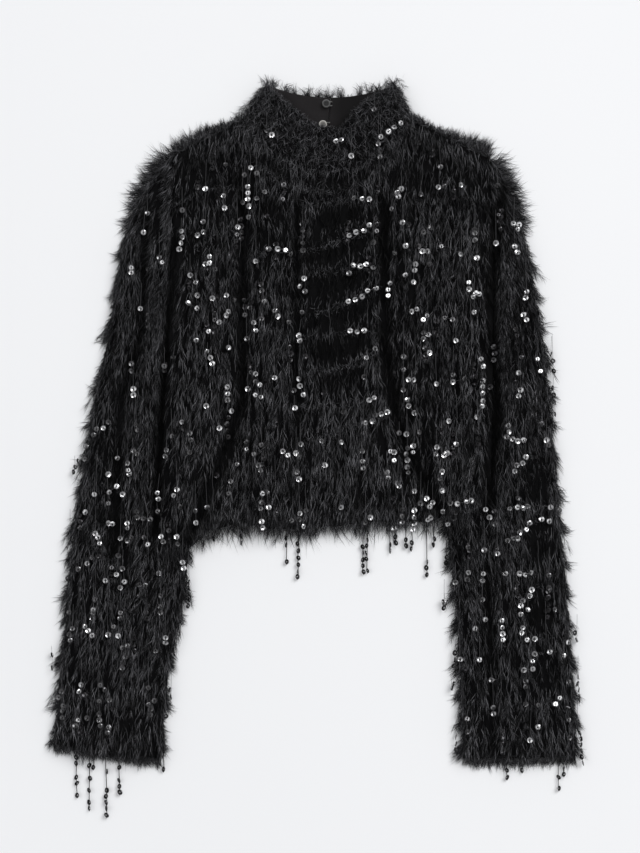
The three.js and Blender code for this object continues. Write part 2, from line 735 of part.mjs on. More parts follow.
function cuffFringe(side) {
  const edge = arms[side].outer.at(-1).slice(1, 14);
  const line = edge.map(([x, y, z]) => [x, y, Math.max(3, z - pileHigh - 1)]);
  const strands = cuffStrands[side].map((s) => strand(s.at, s.length, 8, s.lean));
  const locks = locksAlong(11, 0.02, 0.98, down, 9, -3, side === "left" ? 5 : 6);
  fringe(`cuff_fringe_${side}`, line, line.map(() => [0, -1]), [...locks, ...strands]);
}

// The silhouette of each sleeve: three lengths down the outer fold, and one inside below the hem
function edgeFringe(side) {
  const rows = arms[side].outer;
  const away = side === "left" ? -1 : 1;
  const stations = arms[side].stations;
  const outerLine = rows.map((ring) => [ring[0][0], ring[0][1], ring[0][2] + 0.6]);
  const innerLine = rows.map((ring) => {
    const p = ring[14];
    return [p[0], p[1], p[2] + 0.6];
  });
  const cut = (line, from, to) =>
    line.filter((_, i) => !(i % 2) && stations[i].down >= from && stations[i].down <= to);
  const parts = [
    { name: "upper", from: 0.02, to: 0.34, count: 12 },
    { name: "middle", from: 0.345, to: 0.67, count: 12 },
    { name: "lower", from: 0.675, to: 0.995, count: 12 },
  ];
  parts.forEach((part, n) => {
    const line = cut(outerLine, part.from, part.to);
    const out = normalsOf(line, -away);
    const way = (at) => {
      const o = out[Math.round(at * (line.length - 1))];
      const v = new THREE.Vector2(o[0] * 0.75, o[1] * 0.75 - 0.75).normalize();
      return [v.x, v.y];
    };
    const locks = locksAlong(part.count, 0.01, 0.99, way, 12, -0.8, n + (side === "left" ? 11 : 21));
    fringe(`edge_fringe_${side}_${part.name}`, line, out, locks);
  });
  const inside = cut(innerLine, 0.7, 0.995);
  const out = normalsOf(inside, away);
  const way = () => [-away * 0.5, -0.86];
  const seed = side === "left" ? 31 : 32;
  fringe(`inner_fringe_${side}`, inside, out, locksAlong(12, 0.02, 0.98, way, 11, -0.8, seed));
}

// The shoulder seams and the back of the collar, where the pile stands up past the edge
function shoulderFringe(side) {
  const edge = back.shoulders.filter(([x]) => (side === "left" ? x < -neck.half - 6 : x > neck.half + 6));
  const line = edge.map(([x, y, z]) => [x, y, z + 1.6]);
  const out = normalsOf(line, -1);
  const way = (at) => out[Math.round(at * (line.length - 1))];
  const seed = side === "left" ? 41 : 42;
  fringe(`shoulder_fringe_${side}`, line, out, locksAlong(8, 0.03, 0.97, way, 8, 0.6, seed));
}

function collarFringe(side) {
  const points = band.topEdge;
  const half = side === "left" ? points.slice(1, 12) : points.slice(-12, -1);
  const clear = (x) => (x / collar.top.half) ** 2;
  const line = half.map(([x, y, z]) => [x, y + clear(x), Math.max(z + 0.9, 1.8)]);
  const out = line.map(([x]) => new THREE.Vector2((x / collar.top.half) * 0.7, 1).normalize().toArray());
  const way = (at) => out[Math.round(at * (line.length - 1))];
  const seed = side === "left" ? 51 : 52;
  fringe(`collar_fringe_${side}`, line, out, locksAlong(9, 0.03, 0.97, way, 8.5, 1.2, seed));
}

hemFringe();
for (const side of ["left", "right"]) {
  cuffFringe(side);
  edgeFringe(side);
  shoulderFringe(side);
  collarFringe(side);
}

// The origin is at the middle of the whole top, on the surface that it lies on.
const box = new THREE.Box3().setFromObject(shirt);
const centre = box.getCenter(new THREE.Vector3());
shirt.position.set(-centre.x, -centre.y, -box.min.z);

export default shirt;
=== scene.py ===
import math
import bpy
import numpy as np
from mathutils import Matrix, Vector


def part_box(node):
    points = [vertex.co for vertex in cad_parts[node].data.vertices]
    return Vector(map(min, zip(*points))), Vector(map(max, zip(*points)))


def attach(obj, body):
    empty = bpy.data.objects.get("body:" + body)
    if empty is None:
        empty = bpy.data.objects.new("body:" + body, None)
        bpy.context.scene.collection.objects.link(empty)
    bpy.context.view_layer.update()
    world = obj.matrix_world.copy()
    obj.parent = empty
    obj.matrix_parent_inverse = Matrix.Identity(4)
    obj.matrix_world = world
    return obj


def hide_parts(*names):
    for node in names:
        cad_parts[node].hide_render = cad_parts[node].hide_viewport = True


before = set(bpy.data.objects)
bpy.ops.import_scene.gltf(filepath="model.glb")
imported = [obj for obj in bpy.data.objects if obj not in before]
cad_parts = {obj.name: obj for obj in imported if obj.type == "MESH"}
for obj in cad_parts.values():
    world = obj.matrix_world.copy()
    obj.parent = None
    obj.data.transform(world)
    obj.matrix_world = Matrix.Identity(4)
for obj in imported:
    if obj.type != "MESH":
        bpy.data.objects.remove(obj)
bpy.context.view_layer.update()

# Sizes are in millimetres on the garment: x across from the centre front, y up from the hem.
# A place read off the picture is turned into these by fromPicture.
picture = {"centreX": 327, "hemY": 530, "scale": 1.08, "width": 640, "height": 853}

cloth = {"wall": 1.6, "edgeGap": 0.5, "atFold": 5.4, "atRidge": 5.0, "plain": 8.9, "seamFade": 32,
         "tuckLift": 10.4, "tuckRamp": 30, "tuckMargin": 6, "domePower": 2.6, "grooveDepth": 0.9, "frontThick": 1.3}

body = {
    "shoulder": {"left": (-164, 408), "right": (176, 403)},
    "underarm": {"left": (-172, 190), "right": (179, 194)},
    "sideEnd": {"left": (-182, -24), "right": (176, 30)},
    "neckHalf": 88, "neckSide": 447, "frontDip": 54, "backDip": 22, "neckSoft": 9,
    "hem": [(-190, -26), (-150, -19), (-126, 0), (-96, 7), (-50, 1), (0, 4), (55, 9), (105, 9), (135, 17), (190, 31)],
}

sleeves = {
    "left": {"rows": [
        (-164, 408, -172, 190), (-183, 386, -172.6, 170), (-203, 352, -168, 150), (-219, 308, -156, 128),
        (-228, 256, -146, 100), (-237, 200, -140, 64), (-250, 140, -140, 26), (-261, 70, -147, -8),
        (-272, 5, -152, -42), (-279, -70, -158, -88), (-287, -150, -172, -156), (-294, -235, -180, -251)],
        "crease": (0.36, 3, 9, 0.45, 0.07)},
    "right": {"rows": [
        (176, 403, 179, 194), (192, 370, 179.6, 173), (205, 332, 174, 152), (217, 287, 160, 130),
        (226, 240, 145, 102), (234, 185, 134, 68), (240, 120, 129, 28), (246, 55, 131, -8),
        (253, -15, 136, -42), (259, -95, 142, -102), (265, -175, 146, -176), (269, -244, 147, -247)],
        "crease": (0.73, 6.6, 11.5, 0.42, 0.06)},
}

# Grooves between the soft folds, by picture place: how strong each is and how wide
grooves = [
    {"path": [(243, 196), (243, 400), (225, 450), (205, 500), (190, 540)], "deep": 0.9, "wide": 6.5},
    {"path": [(297, 200), (296, 400), (300, 440)], "deep": 0.7, "wide": 5.0},
    {"path": [(384, 200), (385, 350), (400, 430), (440, 510)], "deep": 0.9, "wide": 6.5},
    {"path": [(505, 190), (496, 212), (491, 282), (493, 364), (496, 404), (490, 480), (488, 510)],
     "deep": 1.0, "wide": 7.0},
    {"path": [(176, 240), (172, 308), (167, 353), (164, 388), (160, 450), (156, 530)], "deep": 1.0, "wide": 5.5},
    {"path": [(149, 201), (146, 252), (143, 324), (127, 380), (121, 404), (115, 550)], "deep": 0.8, "wide": 5.0},
    {"path": [(485, 560), (490, 650), (492, 755)], "deep": 0.6, "wide": 4.5},
]

# Rolls of cloth that stand up between the grooves
ridges = [
    {"path": [(276, 190), (278, 300), (272, 420), (262, 520)], "high": 6.0, "wide": 15},
    {"path": [(212, 215), (212, 330), (200, 430), (180, 510)], "high": 5.0, "wide": 17},
    {"path": [(405, 190), (408, 330), (425, 430), (455, 495)], "high": 4.0, "wide": 14},
    {"path": [(462, 200), (462, 320), (468, 440)], "high": 3.5, "wide": 18},
]


def mixed(a, b, k):
    return a + (b - a) * k


def eased(start, end, x):
    k = np.clip((x - start) / (end - start), 0, 1)
    return k * k * (3 - 2 * k)


def bell(x, width):
    return np.exp(-((x / width) ** 2))


def dome(s):
    return np.maximum(0, 1 - np.abs(2 * s - 1) ** cloth["domePower"]) ** (1 / cloth["domePower"])


def fromPicture(px, py):
    across, up = np.asarray(px, float) - picture["centreX"], picture["hemY"] - np.asarray(py, float)
    return across * picture["scale"], up * picture["scale"]


def hemY(x):
    xs, ys = (np.array(v, float) for v in zip(*body["hem"]))
    i = np.clip(np.searchsorted(xs, x) - 1, 0, len(xs) - 2)
    return mixed(ys[i], ys[i + 1], eased(xs[i], xs[i + 1], x))


def sideX(side, y):
    (sx, sy), (ux, uy), (ex, ey) = (body[k][side] for k in ("shoulder", "underarm", "sideEnd"))
    return np.where(y >= uy, mixed(sx, ux, (sy - y) / (sy - uy)), mixed(ux, ex, (uy - y) / (uy - ey)))


def bySide(x, worker):
    return np.where(x < 0, worker("left"), worker("right"))


def topY(x, dip):
    out = np.abs(x)
    slope = bySide(x, lambda s: mixed(body["neckSide"], body["shoulder"][s][1],
                                      (out - body["neckHalf"]) / (abs(body["shoulder"][s][0]) - body["neckHalf"])))
    return np.where(out < body["neckHalf"], body["neckSide"] - dip * (1 - (out / body["neckHalf"]) ** 2), slope)


def innerX(side, y):
    rows = np.array(sleeves[side]["rows"], float)
    found = np.interp(y, rows[::-1, 3], rows[::-1, 2])
    return np.where(y > rows[0, 3], sideX(side, y), found)


def backFloor(x, y):
    def lift(side):
        along = eased(body["shoulder"][side][1], body["underarm"][side][1], y)
        edge = np.abs(innerX(side, y)) - cloth["tuckMargin"]
        return cloth["tuckLift"] * along * eased(edge - cloth["tuckRamp"], edge, np.abs(x))
    return bySide(x, lift)


def nearPath(path, x, y):
    px, py = fromPicture(*zip(*path))
    best = np.full(np.shape(x), 1e9)
    for ax, ay, bx, by in zip(px[:-1], py[:-1], px[1:], py[1:]):
        k = np.clip(((x - ax) * (bx - ax) + (y - ay) * (by - ay)) / ((bx - ax) ** 2 + (by - ay) ** 2), 0, 1)
        best = np.minimum(best, np.hypot(x - mixed(ax, bx, k), y - mixed(ay, by, k)))
    return best


def grooveAt(x, y):
    depth = np.zeros(np.shape(x))
    for g in grooves:
        depth = np.maximum(depth, g["deep"] * bell(nearPath(g["path"], x, y), g["wide"]))
    return depth


def ridgeAt(x, y):
    high = np.zeros(np.shape(x))
    for r in ridges:
        high = high + r["high"] * bell(nearPath(r["path"], x, y), r["wide"])
    return high


def frontTop(x, y):
    # Height of the front's cloth without its pile
    def fallAt(side):
        high, low = body["shoulder"][side][1], body["underarm"][side][1]
        return dome(np.clip((high - y) / (high - low), 0, 1))

    across = [np.abs(bySide(x, lambda s: sideX(s, y))) - np.abs(x), topY(x, body["frontDip"]) - y]
    fall = bySide(x, fallAt)
    openNeck = 1 - eased(body["neckHalf"] - body["neckSoft"], body["neckHalf"] + body["neckSoft"], np.abs(x))
    fade = [eased(0, cloth["seamFade"], v) for v in across]
    creased = cloth["atFold"] + cloth["atRidge"] * (1 - cloth["grooveDepth"] * grooveAt(x, y))
    room = mixed(cloth["plain"], creased, fade[0] * fade[1]) - cloth["edgeGap"]
    hollow = cloth["edgeGap"] + room * mixed(fall, 1, fade[0]) * mixed(openNeck, 1, fade[1])
    return backFloor(x, y) + 2 * cloth["wall"] + hollow + ridgeAt(x, y) * fade[0] * fade[1]


def onBody(x, y, dip, margin=0.0):
    inside = (x > sideX("left", y) + margin) & (x < sideX("right", y) - margin)
    return inside & (y > hemY(x) + margin) & (y < topY(x, dip) - margin)


def panelXY(across, down, dip):
    top = topY(mixed(body["shoulder"]["left"][0], body["shoulder"]["right"][0], across), dip)
    y = mixed(top, hemY(mixed(body["sideEnd"]["left"][0], body["sideEnd"]["right"][0], across)), down)
    return mixed(sideX("left", y), sideX("right", y), across), y


def rowValue(values, at):
    last = len(values) - 1
    i = np.clip(np.floor(at).astype(int), 0, last - 1)
    k = at - i
    a, b, c, d = (values[np.clip(i + n, 0, last)] for n in (-1, 0, 1, 2))
    m, n = (c - a) / 2, (d - b) / 2
    return ((2 * k**3 - 3 * k**2 + 1) * b + (k**3 - 2 * k**2 + k) * m
            + (3 * k**2 - 2 * k**3) * c + (k**3 - k**2) * n)


def sleeveAt(side, at, s):
    # Plan place, floor, room share and pressed share of a sleeve at row number at, and s across
    rows = np.array(sleeves[side]["rows"], float)
    out = -0.35 if side == "left" else 0.35
    ox, oy, ix, iy = (rowValue(rows[:, k], at) for k in range(4))
    ox, ix = ox + out, ix + out * (1 - eased(0.6, 1.6, at))
    x, y = mixed(ox, ix, s), mixed(oy, iy, s)
    across, start, end, deep, wide = sleeves[side]["crease"]
    run = eased(start - 0.8, start + 0.8, at) * eased(end + 0.8, end - 0.8, at)
    beside = np.abs(x) - np.abs(sideX(side, y))
    below = eased(hemY(x) - 34, hemY(x) - 6, y) * eased(0.4, 1.1, at)
    room = (1 - 0.42 * (1 - eased(3, 28, beside)) * below) * (1 - deep * run * bell(s - across, wide))
    low = cloth["tuckLift"] * eased(0, 1, s) * (1 - eased(0, 1, at))
    return x, y, low, room


def sleeveTop(side, at, s):
    x, y, low, room = sleeveAt(side, at, s)
    edge = cloth["wall"] + cloth["edgeGap"] / 2
    high = (cloth["plain"] - cloth["edgeGap"]) * room + cloth["edgeGap"] / 2 + cloth["wall"]
    return x, y, low + edge + high * dome(s)


collar = {"base": {"centre": 0, "half": 88, "side": 447.5, "front": 54, "back": 20.8, "mid": 7.6, "rise": 7.0},
          "top": {"centre": 4, "half": 70, "side": 480, "back": 12.5, "mid": 9.4, "rise": 8.0},
          "drape": [(-1, 0), (-0.69, 20), (-0.25, 44), (0.0, 47.5), (0.15, 48), (0.41, 25), (0.67, 12), (1, 0)],
          "band": 1.8, "split": 1.3}


def collarAt(angle, high, inset):
    b, t = collar["base"], collar["top"]
    value = lambda key: mixed(b[key], t[key], high)
    sin, cos = np.sin(angle), np.cos(angle)
    flat = np.sign(sin) * np.abs(sin) ** 0.5
    drape = np.interp(cos, *zip(*collar["drape"]))
    dip = np.where(sin > 0, value("back") * sin**2, mixed(b["front"] * sin**2, drape, high))
    x = value("centre") + (value("half") - inset) * cos
    return x, value("side") - dip, value("mid") - (value("rise") - inset) * flat


class HeightMap:
    # Highest cloth over each place in plan, softened so that pile drapes over the edges
    x0, y0, step, nx, ny = -345.0, -345.0, 1.5, 460, 580

    def __init__(self):
        self.z = np.zeros((self.ny, self.nx))

    def places(self):
        return np.meshgrid(self.x0 + self.step * np.arange(self.nx), self.y0 + self.step * np.arange(self.ny))

    def put(self, x, y, z):
        i = np.clip(np.round((y - self.y0) / self.step).astype(int), 0, self.ny - 1).ravel()
        j = np.clip(np.round((x - self.x0) / self.step).astype(int), 0, self.nx - 1).ravel()
        np.maximum.at(self.z, (i, j), np.asarray(z).ravel())

    def spread(self, cells):
        for _ in range(cells):
            for axis in (0, 1):
                self.z = np.maximum(self.z, np.maximum(np.roll(self.z, 1, axis), np.roll(self.z, -1, axis)))
        return self

    def soften(self, radius):
        reach = int(math.ceil(2.5 * radius / self.step))
        weights = np.exp(-((np.arange(-reach, reach + 1) * self.step / radius) ** 2) / 2)
        weights /= weights.sum()
        for axis in (0, 1):
            padded = np.pad(self.z, [(reach, reach) if a == axis else (0, 0) for a in (0, 1)], mode="edge")
            size = self.z.shape[axis]
            self.z = sum(w * np.take(padded, range(k, k + size), axis=axis) for k, w in enumerate(weights))
        return self

    def __call__(self, x, y):
        fx = np.clip((x - self.x0) / self.step, 0, self.nx - 1.001)
        fy = np.clip((y - self.y0) / self.step, 0, self.ny - 1.001)
        j, i = fx.astype(int), fy.astype(int)
        u, v = fx - j, fy - i
        z = self.z
        return mixed(mixed(z[i, j], z[i, j + 1], u), mixed(z[i + 1, j], z[i + 1, j + 1], u), v)


sleeveMap, wholeMap = HeightMap(), HeightMap()
for side in sleeves:
    at, s = np.meshgrid(np.linspace(0, 11, 900), np.linspace(0, 1, 300), indexing="ij")
    for chart in (sleeveMap, wholeMap):
        chart.put(*sleeveTop(side, at, s))
gx, gy = wholeMap.places()
mask = onBody(gx, gy, body["frontDip"])
wholeMap.z[mask] = np.maximum(wholeMap.z[mask], frontTop(gx[mask], gy[mask]))
angle, high = np.meshgrid(np.linspace(math.pi, 2 * math.pi, 400), np.linspace(0, 1, 60))
wholeMap.put(*collarAt(angle, high, 0))
for chart in (sleeveMap, wholeMap):
    chart.spread(2).soften(2.2)
print("heights worked out")

# The front's lower left corner ties places on the garment to the frame
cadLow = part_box("front_panel")[0]
cornerX = body["sideEnd"]["left"][0]
shift = np.array([cadLow[0] * 1000 - cornerX, cadLow[1] * 1000 - float(hemY(cornerX)), 0])


def toWorld(points):
    return (np.asarray(points, float) + shift) / 1000


# Materials
class Wire:
    def __init__(self, maker, socket):
        self.maker, self.socket = maker, socket

    def math(self, operation, a, b):
        return self.maker.node("ShaderNodeMath", {"operation": operation}, {0: a, 1: b})

    def __add__(self, other):
        return self.math("ADD", self, other)

    def __radd__(self, other):
        return self.math("ADD", other, self)

    def __mul__(self, other):
        return self.math("MULTIPLY", self, other)

    def __rmul__(self, other):
        return self.math("MULTIPLY", other, self)


class Finish:
    def __init__(self, name):
        self.material = bpy.data.materials.new(name)
        self.material.use_nodes = True
        self.tree = self.material.node_tree
        self.tree.nodes.clear()
        self.surface = None

    def node(self, kind, settings=None, inputs=None, out=0):
        made = self.tree.nodes.new(kind)
        for key, value in (settings or {}).items():
            if key == "stops":
                while len(made.color_ramp.elements) < len(value):
                    made.color_ramp.elements.new(0.5)
                for element, (position, colour) in zip(made.color_ramp.elements, value):
                    element.position, element.color = position, colour
            else:
                setattr(made, key, value)
        for key, value in (inputs or {}).items():
            socket = made.inputs[key]
            if isinstance(value, Wire):
                self.tree.links.new(value.socket, socket)
            elif value is not None:
                socket.default_value = value
        return Wire(self, made.outputs[out])

    def blend(self, factor, a, b):
        return self.node("ShaderNodeMix", {"data_type": "RGBA"}, {0: factor, 6: a, 7: b}, out=2)

    def place(self):
        return self.node("ShaderNodeTexCoord", out="Object")

    def along(self, axis):
        return self.node("ShaderNodeSeparateXYZ", None, {0: self.place()}, out=axis)

    def shade(self):
        return self.node("ShaderNodeAttribute", {"attribute_name": "shade"}, out="Fac")

    def ramp(self, value, start, end):
        return self.node("ShaderNodeMapRange", None, {0: value, 1: start, 2: end})

    def noise(self, scale, detail=2.0, rough=0.5):
        return self.node("ShaderNodeTexNoise", None,
                         {"Vector": self.place(), "Scale": scale, "Detail": detail, "Roughness": rough})

    def wave(self, direction, scale, distortion):
        return self.node("ShaderNodeTexWave", {"bands_direction": direction},
                         {"Vector": self.place(), "Scale": scale, "Distortion": distortion, "Detail": 2.0})

    def bump(self, strength, distance, height):
        return self.node("ShaderNodeBump", None, {"Strength": strength, "Distance": distance, "Height": height})

    def done(self, inputs):
        self.surface = self.node("ShaderNodeBsdfPrincipled", None, inputs)
        end = self.tree.nodes.new("ShaderNodeOutputMaterial")
        self.tree.links.new(self.surface.socket, end.inputs["Surface"])
        return self.material


looks = {
    "ground": {"dark": (0.0012, 0.0012, 0.0015, 1), "light": (0.005, 0.005, 0.0055, 1), "rough": 0.85, "shine": 0.08},
    # The pile's light end is painted sheen on black fibre: bright hairs are painted glints of light.
    "pile": {"dark": (0.0004, 0.0004, 0.0005, 1), "light": (0.192, 0.192, 0.206, 1), "rough": 0.36, "shine": 0.08},
    "facing": {"dark": (0.002, 0.0017, 0.0019, 1), "light": (0.026, 0.0235, 0.025, 1), "rough": 0.62, "shine": 0.12,
               "litBetween": (16, -4)},
    # The sequin's light end is a painted reflection on black sequins.
    "sequin": {"dark": (0.012, 0.011, 0.013, 1), "light": (0.92, 0.92, 0.94, 1), "rough": 0.20, "metal": 0.9},
    # The thread's light end is painted sheen.
    "thread": {"dark": (0.003, 0.003, 0.0034, 1), "light": (0.13, 0.13, 0.14, 1), "rough": 0.5},
    "loop": {"dark": (0.02, 0.02, 0.021, 1), "light": (0.30, 0.30, 0.29, 1), "rough": 0.45},
    # Button rims are painted highlights, and the lower button's tones are painted lighter as light.
    "button": {"rimBetween": (0.0024, 0.0038), "rough": 0.16, "coat": 0.6, "coatRough": 0.1},
    "button_upper": {"heart": (0.008, 0.008, 0.009, 1), "rim": (0.10, 0.10, 0.10, 1)},
    "button_lower": {"heart": (0.16, 0.155, 0.145, 1), "rim": (0.50, 0.49, 0.46, 1)},
    "floor": {"dark": (0.870, 0.878, 0.894, 1), "light": (0.945, 0.952, 0.968, 1), "rough": 0.9, "shine": 0.1},
}


def groundCloth():
    f, v = Finish("groundCloth"), looks["ground"]
    weave, patch = f.wave("Y", 260.0, 4.0), f.noise(60.0, 3.0)
    colour = f.blend(0.6 * weave + 0.4 * patch, v["dark"], v["light"])
    return f.done({"Base Color": colour, "Roughness": v["rough"], "Normal": f.bump(0.5, 0.0006, weave + patch),
                   "Specular IOR Level": v["shine"]})


def pileFibre():
    f, v = Finish("pileFibre"), looks["pile"]
    # Base colour runs from black towards a painted sheen by the hair's shade.
    patch = f.noise(35.0, 3.0)
    colour = f.blend(f.shade() * (0.55 + 0.9 * patch), v["dark"], v["light"])
    return f.done({"Base Color": colour, "Roughness": v["rough"] + 0.12 * patch, "Specular IOR Level": v["shine"]})


def facingSatin():
    f, v = Finish("facingSatin"), looks["facing"]
    weft, warp, patch = f.wave("Y", 420.0, 1.5), f.wave("X", 420.0, 1.5), f.noise(45.0, 4.0)
    # Painted shade: the facing is painted darker towards its right side.
    start, end = (float(toWorld((x, 0, 0))[0]) for x in v["litBetween"])
    side = f.ramp(f.along("X"), start, end)
    colour = f.blend((0.3 * weft + 0.7 * patch) * (0.25 + 0.75 * side), v["dark"], v["light"])
    return f.done({"Base Color": colour, "Roughness": v["rough"] + 0.1 * patch, "Specular IOR Level": v["shine"],
                   "Sheen Weight": 0.02, "Sheen Roughness": 0.4, "Normal": f.bump(0.35, 0.0003, weft * warp)})


def sequinGloss():
    f, v = Finish("sequinGloss"), looks["sequin"]
    patch = f.noise(240.0)
    # Base colour runs from black towards a painted reflection by the sequin's shade.
    colour = f.blend(f.shade() * (0.7 + 0.6 * patch), v["dark"], v["light"])
    return f.done({"Base Color": colour, "Metallic": v["metal"], "Roughness": v["rough"] + 0.08 * patch})


def twistThread():
    f, v = Finish("twistThread"), looks["thread"]
    twist = f.wave("DIAGONAL", 700.0, 1.0)
    colour = f.blend(f.shade() * (0.45 + 0.55 * twist), v["dark"], v["light"])
    return f.done({"Base Color": colour, "Roughness": v["rough"] + 0.1 * twist})


def buttonGloss(name):
    # One tone in the middle and a painted highlight round the edge, with wear in both; the lower button's tones are
    # painted lighter where it catches the light
    f, v, tones = Finish(name), looks["button"], looks[name]
    wearAndGlint = f.noise(900.0, 4.0, 0.6)
    centre = [(a + b) / 2 for a, b in zip(*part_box(name))]
    away = f.node("ShaderNodeVectorMath", {"operation": "DISTANCE"}, {0: f.place(), 1: centre}, out="Value")
    colour = f.blend(f.ramp(away, *v["rimBetween"]) * (0.6 + 0.4 * wearAndGlint), tones["heart"], tones["rim"])
    return f.done({"Base Color": colour, "Roughness": v["rough"] + 0.12 * wearAndGlint, "Coat Weight": v["coat"],
                   "Coat Roughness": v["coatRough"]})


def loopCord():
    f, v = Finish("loopCord"), looks["loop"]
    twist = f.wave("DIAGONAL", 500.0, 1.0)
    return f.done({"Base Color": f.blend(twist, v["dark"], v["light"]), "Roughness": v["rough"] + 0.1 * twist})


def floorCard():
    f, v = Finish("floorCard"), looks["floor"]
    # Painted light: the floor is painted lighter towards the upper right, with faint blotches.
    far = f.ramp(f.along("X") * 0.7 + f.along("Y") * 0.5, -0.35, 0.45)
    colour = f.blend(0.12 * f.noise(3.0, 4.0) + 0.88 * far, v["dark"], v["light"])
    return f.done({"Base Color": colour, "Roughness": v["rough"], "Specular IOR Level": v["shine"]})


ground, fibre, satin, sequinLook = groundCloth(), pileFibre(), facingSatin(), sequinGloss()
threadLook, loopLook, floorLook = twistThread(), loopCord(), floorCard()
buttonLooks = {name: buttonGloss(name) for name in ("button_upper", "button_lower")}
print("materials made")


# Meshes
def meshPiece(name, points, faces, material, shade=None, smooth=True, planar=False):
    # faces is a list of arrays, each with one row for each face
    mesh = bpy.data.meshes.new(name)
    points = toWorld(points)
    sizes = np.concatenate([np.full(len(f), f.shape[1]) for f in faces])
    corners = np.concatenate([f.ravel() for f in faces])
    mesh.vertices.add(len(points))
    mesh.vertices.foreach_set("co", points.ravel())
    mesh.loops.add(len(corners))
    mesh.loops.foreach_set("vertex_index", corners.astype(np.int32))
    mesh.polygons.add(len(sizes))
    starts = np.concatenate([[0], np.cumsum(sizes)[:-1]])
    mesh.polygons.foreach_set("loop_start", starts.astype(np.int32))
    mesh.polygons.foreach_set("loop_total", sizes.astype(np.int32))
    mesh.polygons.foreach_set("use_smooth", np.full(len(sizes), smooth))
    if shade is not None:
        mesh.attributes.new("shade", "FLOAT", "POINT").data.foreach_set("value", np.asarray(shade, np.float32))
    if planar:
        low, high = points[:, :2].min(0), points[:, :2].max(0)
        uv = (points[corners, :2] - low) / (high - low) * 0.96 + 0.02
        mesh.uv_layers.new(name="OFBake").data.foreach_set("uv", uv.ravel().astype(np.float32))
    mesh.update(calc_edges=True)
    mesh.validate()
    mesh.materials.append(material)
    piece = bpy.data.objects.new(name, mesh)
    bpy.context.scene.collection.objects.link(piece)
    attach(piece, "root")
    return piece


def gridFaces(rows, cols, start=0, turned=False, ringed=False):
    i, j = np.meshgrid(np.arange(rows - 1), np.arange(cols if ringed else cols - 1), indexing="ij")
    k = (j + 1) % cols
    quads = [i * cols + j, (i + 1) * cols + j, (i + 1) * cols + k, i * cols + k]
    return np.stack(quads[::-1] if turned else quads, -1).reshape(-1, 4) + start


def rimFaces(first, second, closed=False):
    a, b = np.asarray(first), np.asarray(second)
    if closed:
        a, b = np.append(a, a[0]), np.append(b, b[0])
    return np.stack([a[:-1], a[1:], b[1:], b[:-1]], -1)


def slabPiece(name, upper, lower, material):
    rows, cols = upper.shape[:2]
    n = rows * cols
    index = np.arange(n).reshape(rows, cols)
    faces = [gridFaces(rows, cols), gridFaces(rows, cols, n, turned=True)]
    for edge in (index[:, 0], index[-1], index[::-1, -1], index[0, ::-1]):
        faces.append(rimFaces(edge[::-1], edge[::-1] + n))
    points = np.concatenate([upper.reshape(-1, 3), lower.reshape(-1, 3)])
    return meshPiece(name, points, faces, material)


def stacked(*parts):
    return np.stack(np.broadcast_arrays(*parts), -1)


def frontCloth():
    across, down = np.meshgrid(np.linspace(0, 1, 84), np.linspace(0, 1, 96))
    x, y = panelXY(across, down, body["frontDip"])
    z = frontTop(x, y)
    return slabPiece("frontCloth", stacked(x, y, z), stacked(x, y, z - cloth["frontThick"]), ground)


def backCloth():
    # In two halves down to the slit's end, so that the slit stays open
    slit = {"half": 1.3, "long": 92, "under": 0.8}
    across = np.concatenate([np.linspace(0, 0.49, 34), np.linspace(0.51, 1, 34)])
    across, down = np.meshgrid(across, np.linspace(0, 1, 90))
    x, y = panelXY(across, down, body["backDip"])
    near = np.argmin(np.abs(x[0])), np.argsort(np.abs(x[0]))[1]
    left, right = min(near), max(near)
    opened = y > body["neckSide"] - body["backDip"] - slit["long"]
    x[:, left] = np.where(opened[:, left], -slit["half"], x[:, left])
    x[:, right] = np.where(opened[:, right], slit["half"], x[:, right])
    z = backFloor(x, y)
    upper, lower = stacked(x, y, z + cloth["wall"]), stacked(x, y, z + slit["under"])
    rows, cols = x.shape
    n, index = rows * cols, np.arange(rows * cols).reshape(rows, cols)
    stop = int(opened[:, left].sum())
    whole = np.ones((rows - 1, cols - 1), bool)
    whole[:stop - 1, left] = False
    faces = [gridFaces(rows, cols)[whole.ravel()], gridFaces(rows, cols, n, turned=True)[whole.ravel()]]
    for edge in (index[:, 0], index[-1], index[::-1, -1], index[0, left::-1], index[0, :right - 1:-1],
                 index[:stop, right], index[:stop, left][::-1], index[stop - 1, left:right + 1]):
        faces.append(rimFaces(edge[::-1], edge[::-1] + n))
    points = np.concatenate([upper.reshape(-1, 3), lower.reshape(-1, 3)])
    return meshPiece("backCloth", points, faces, ground)


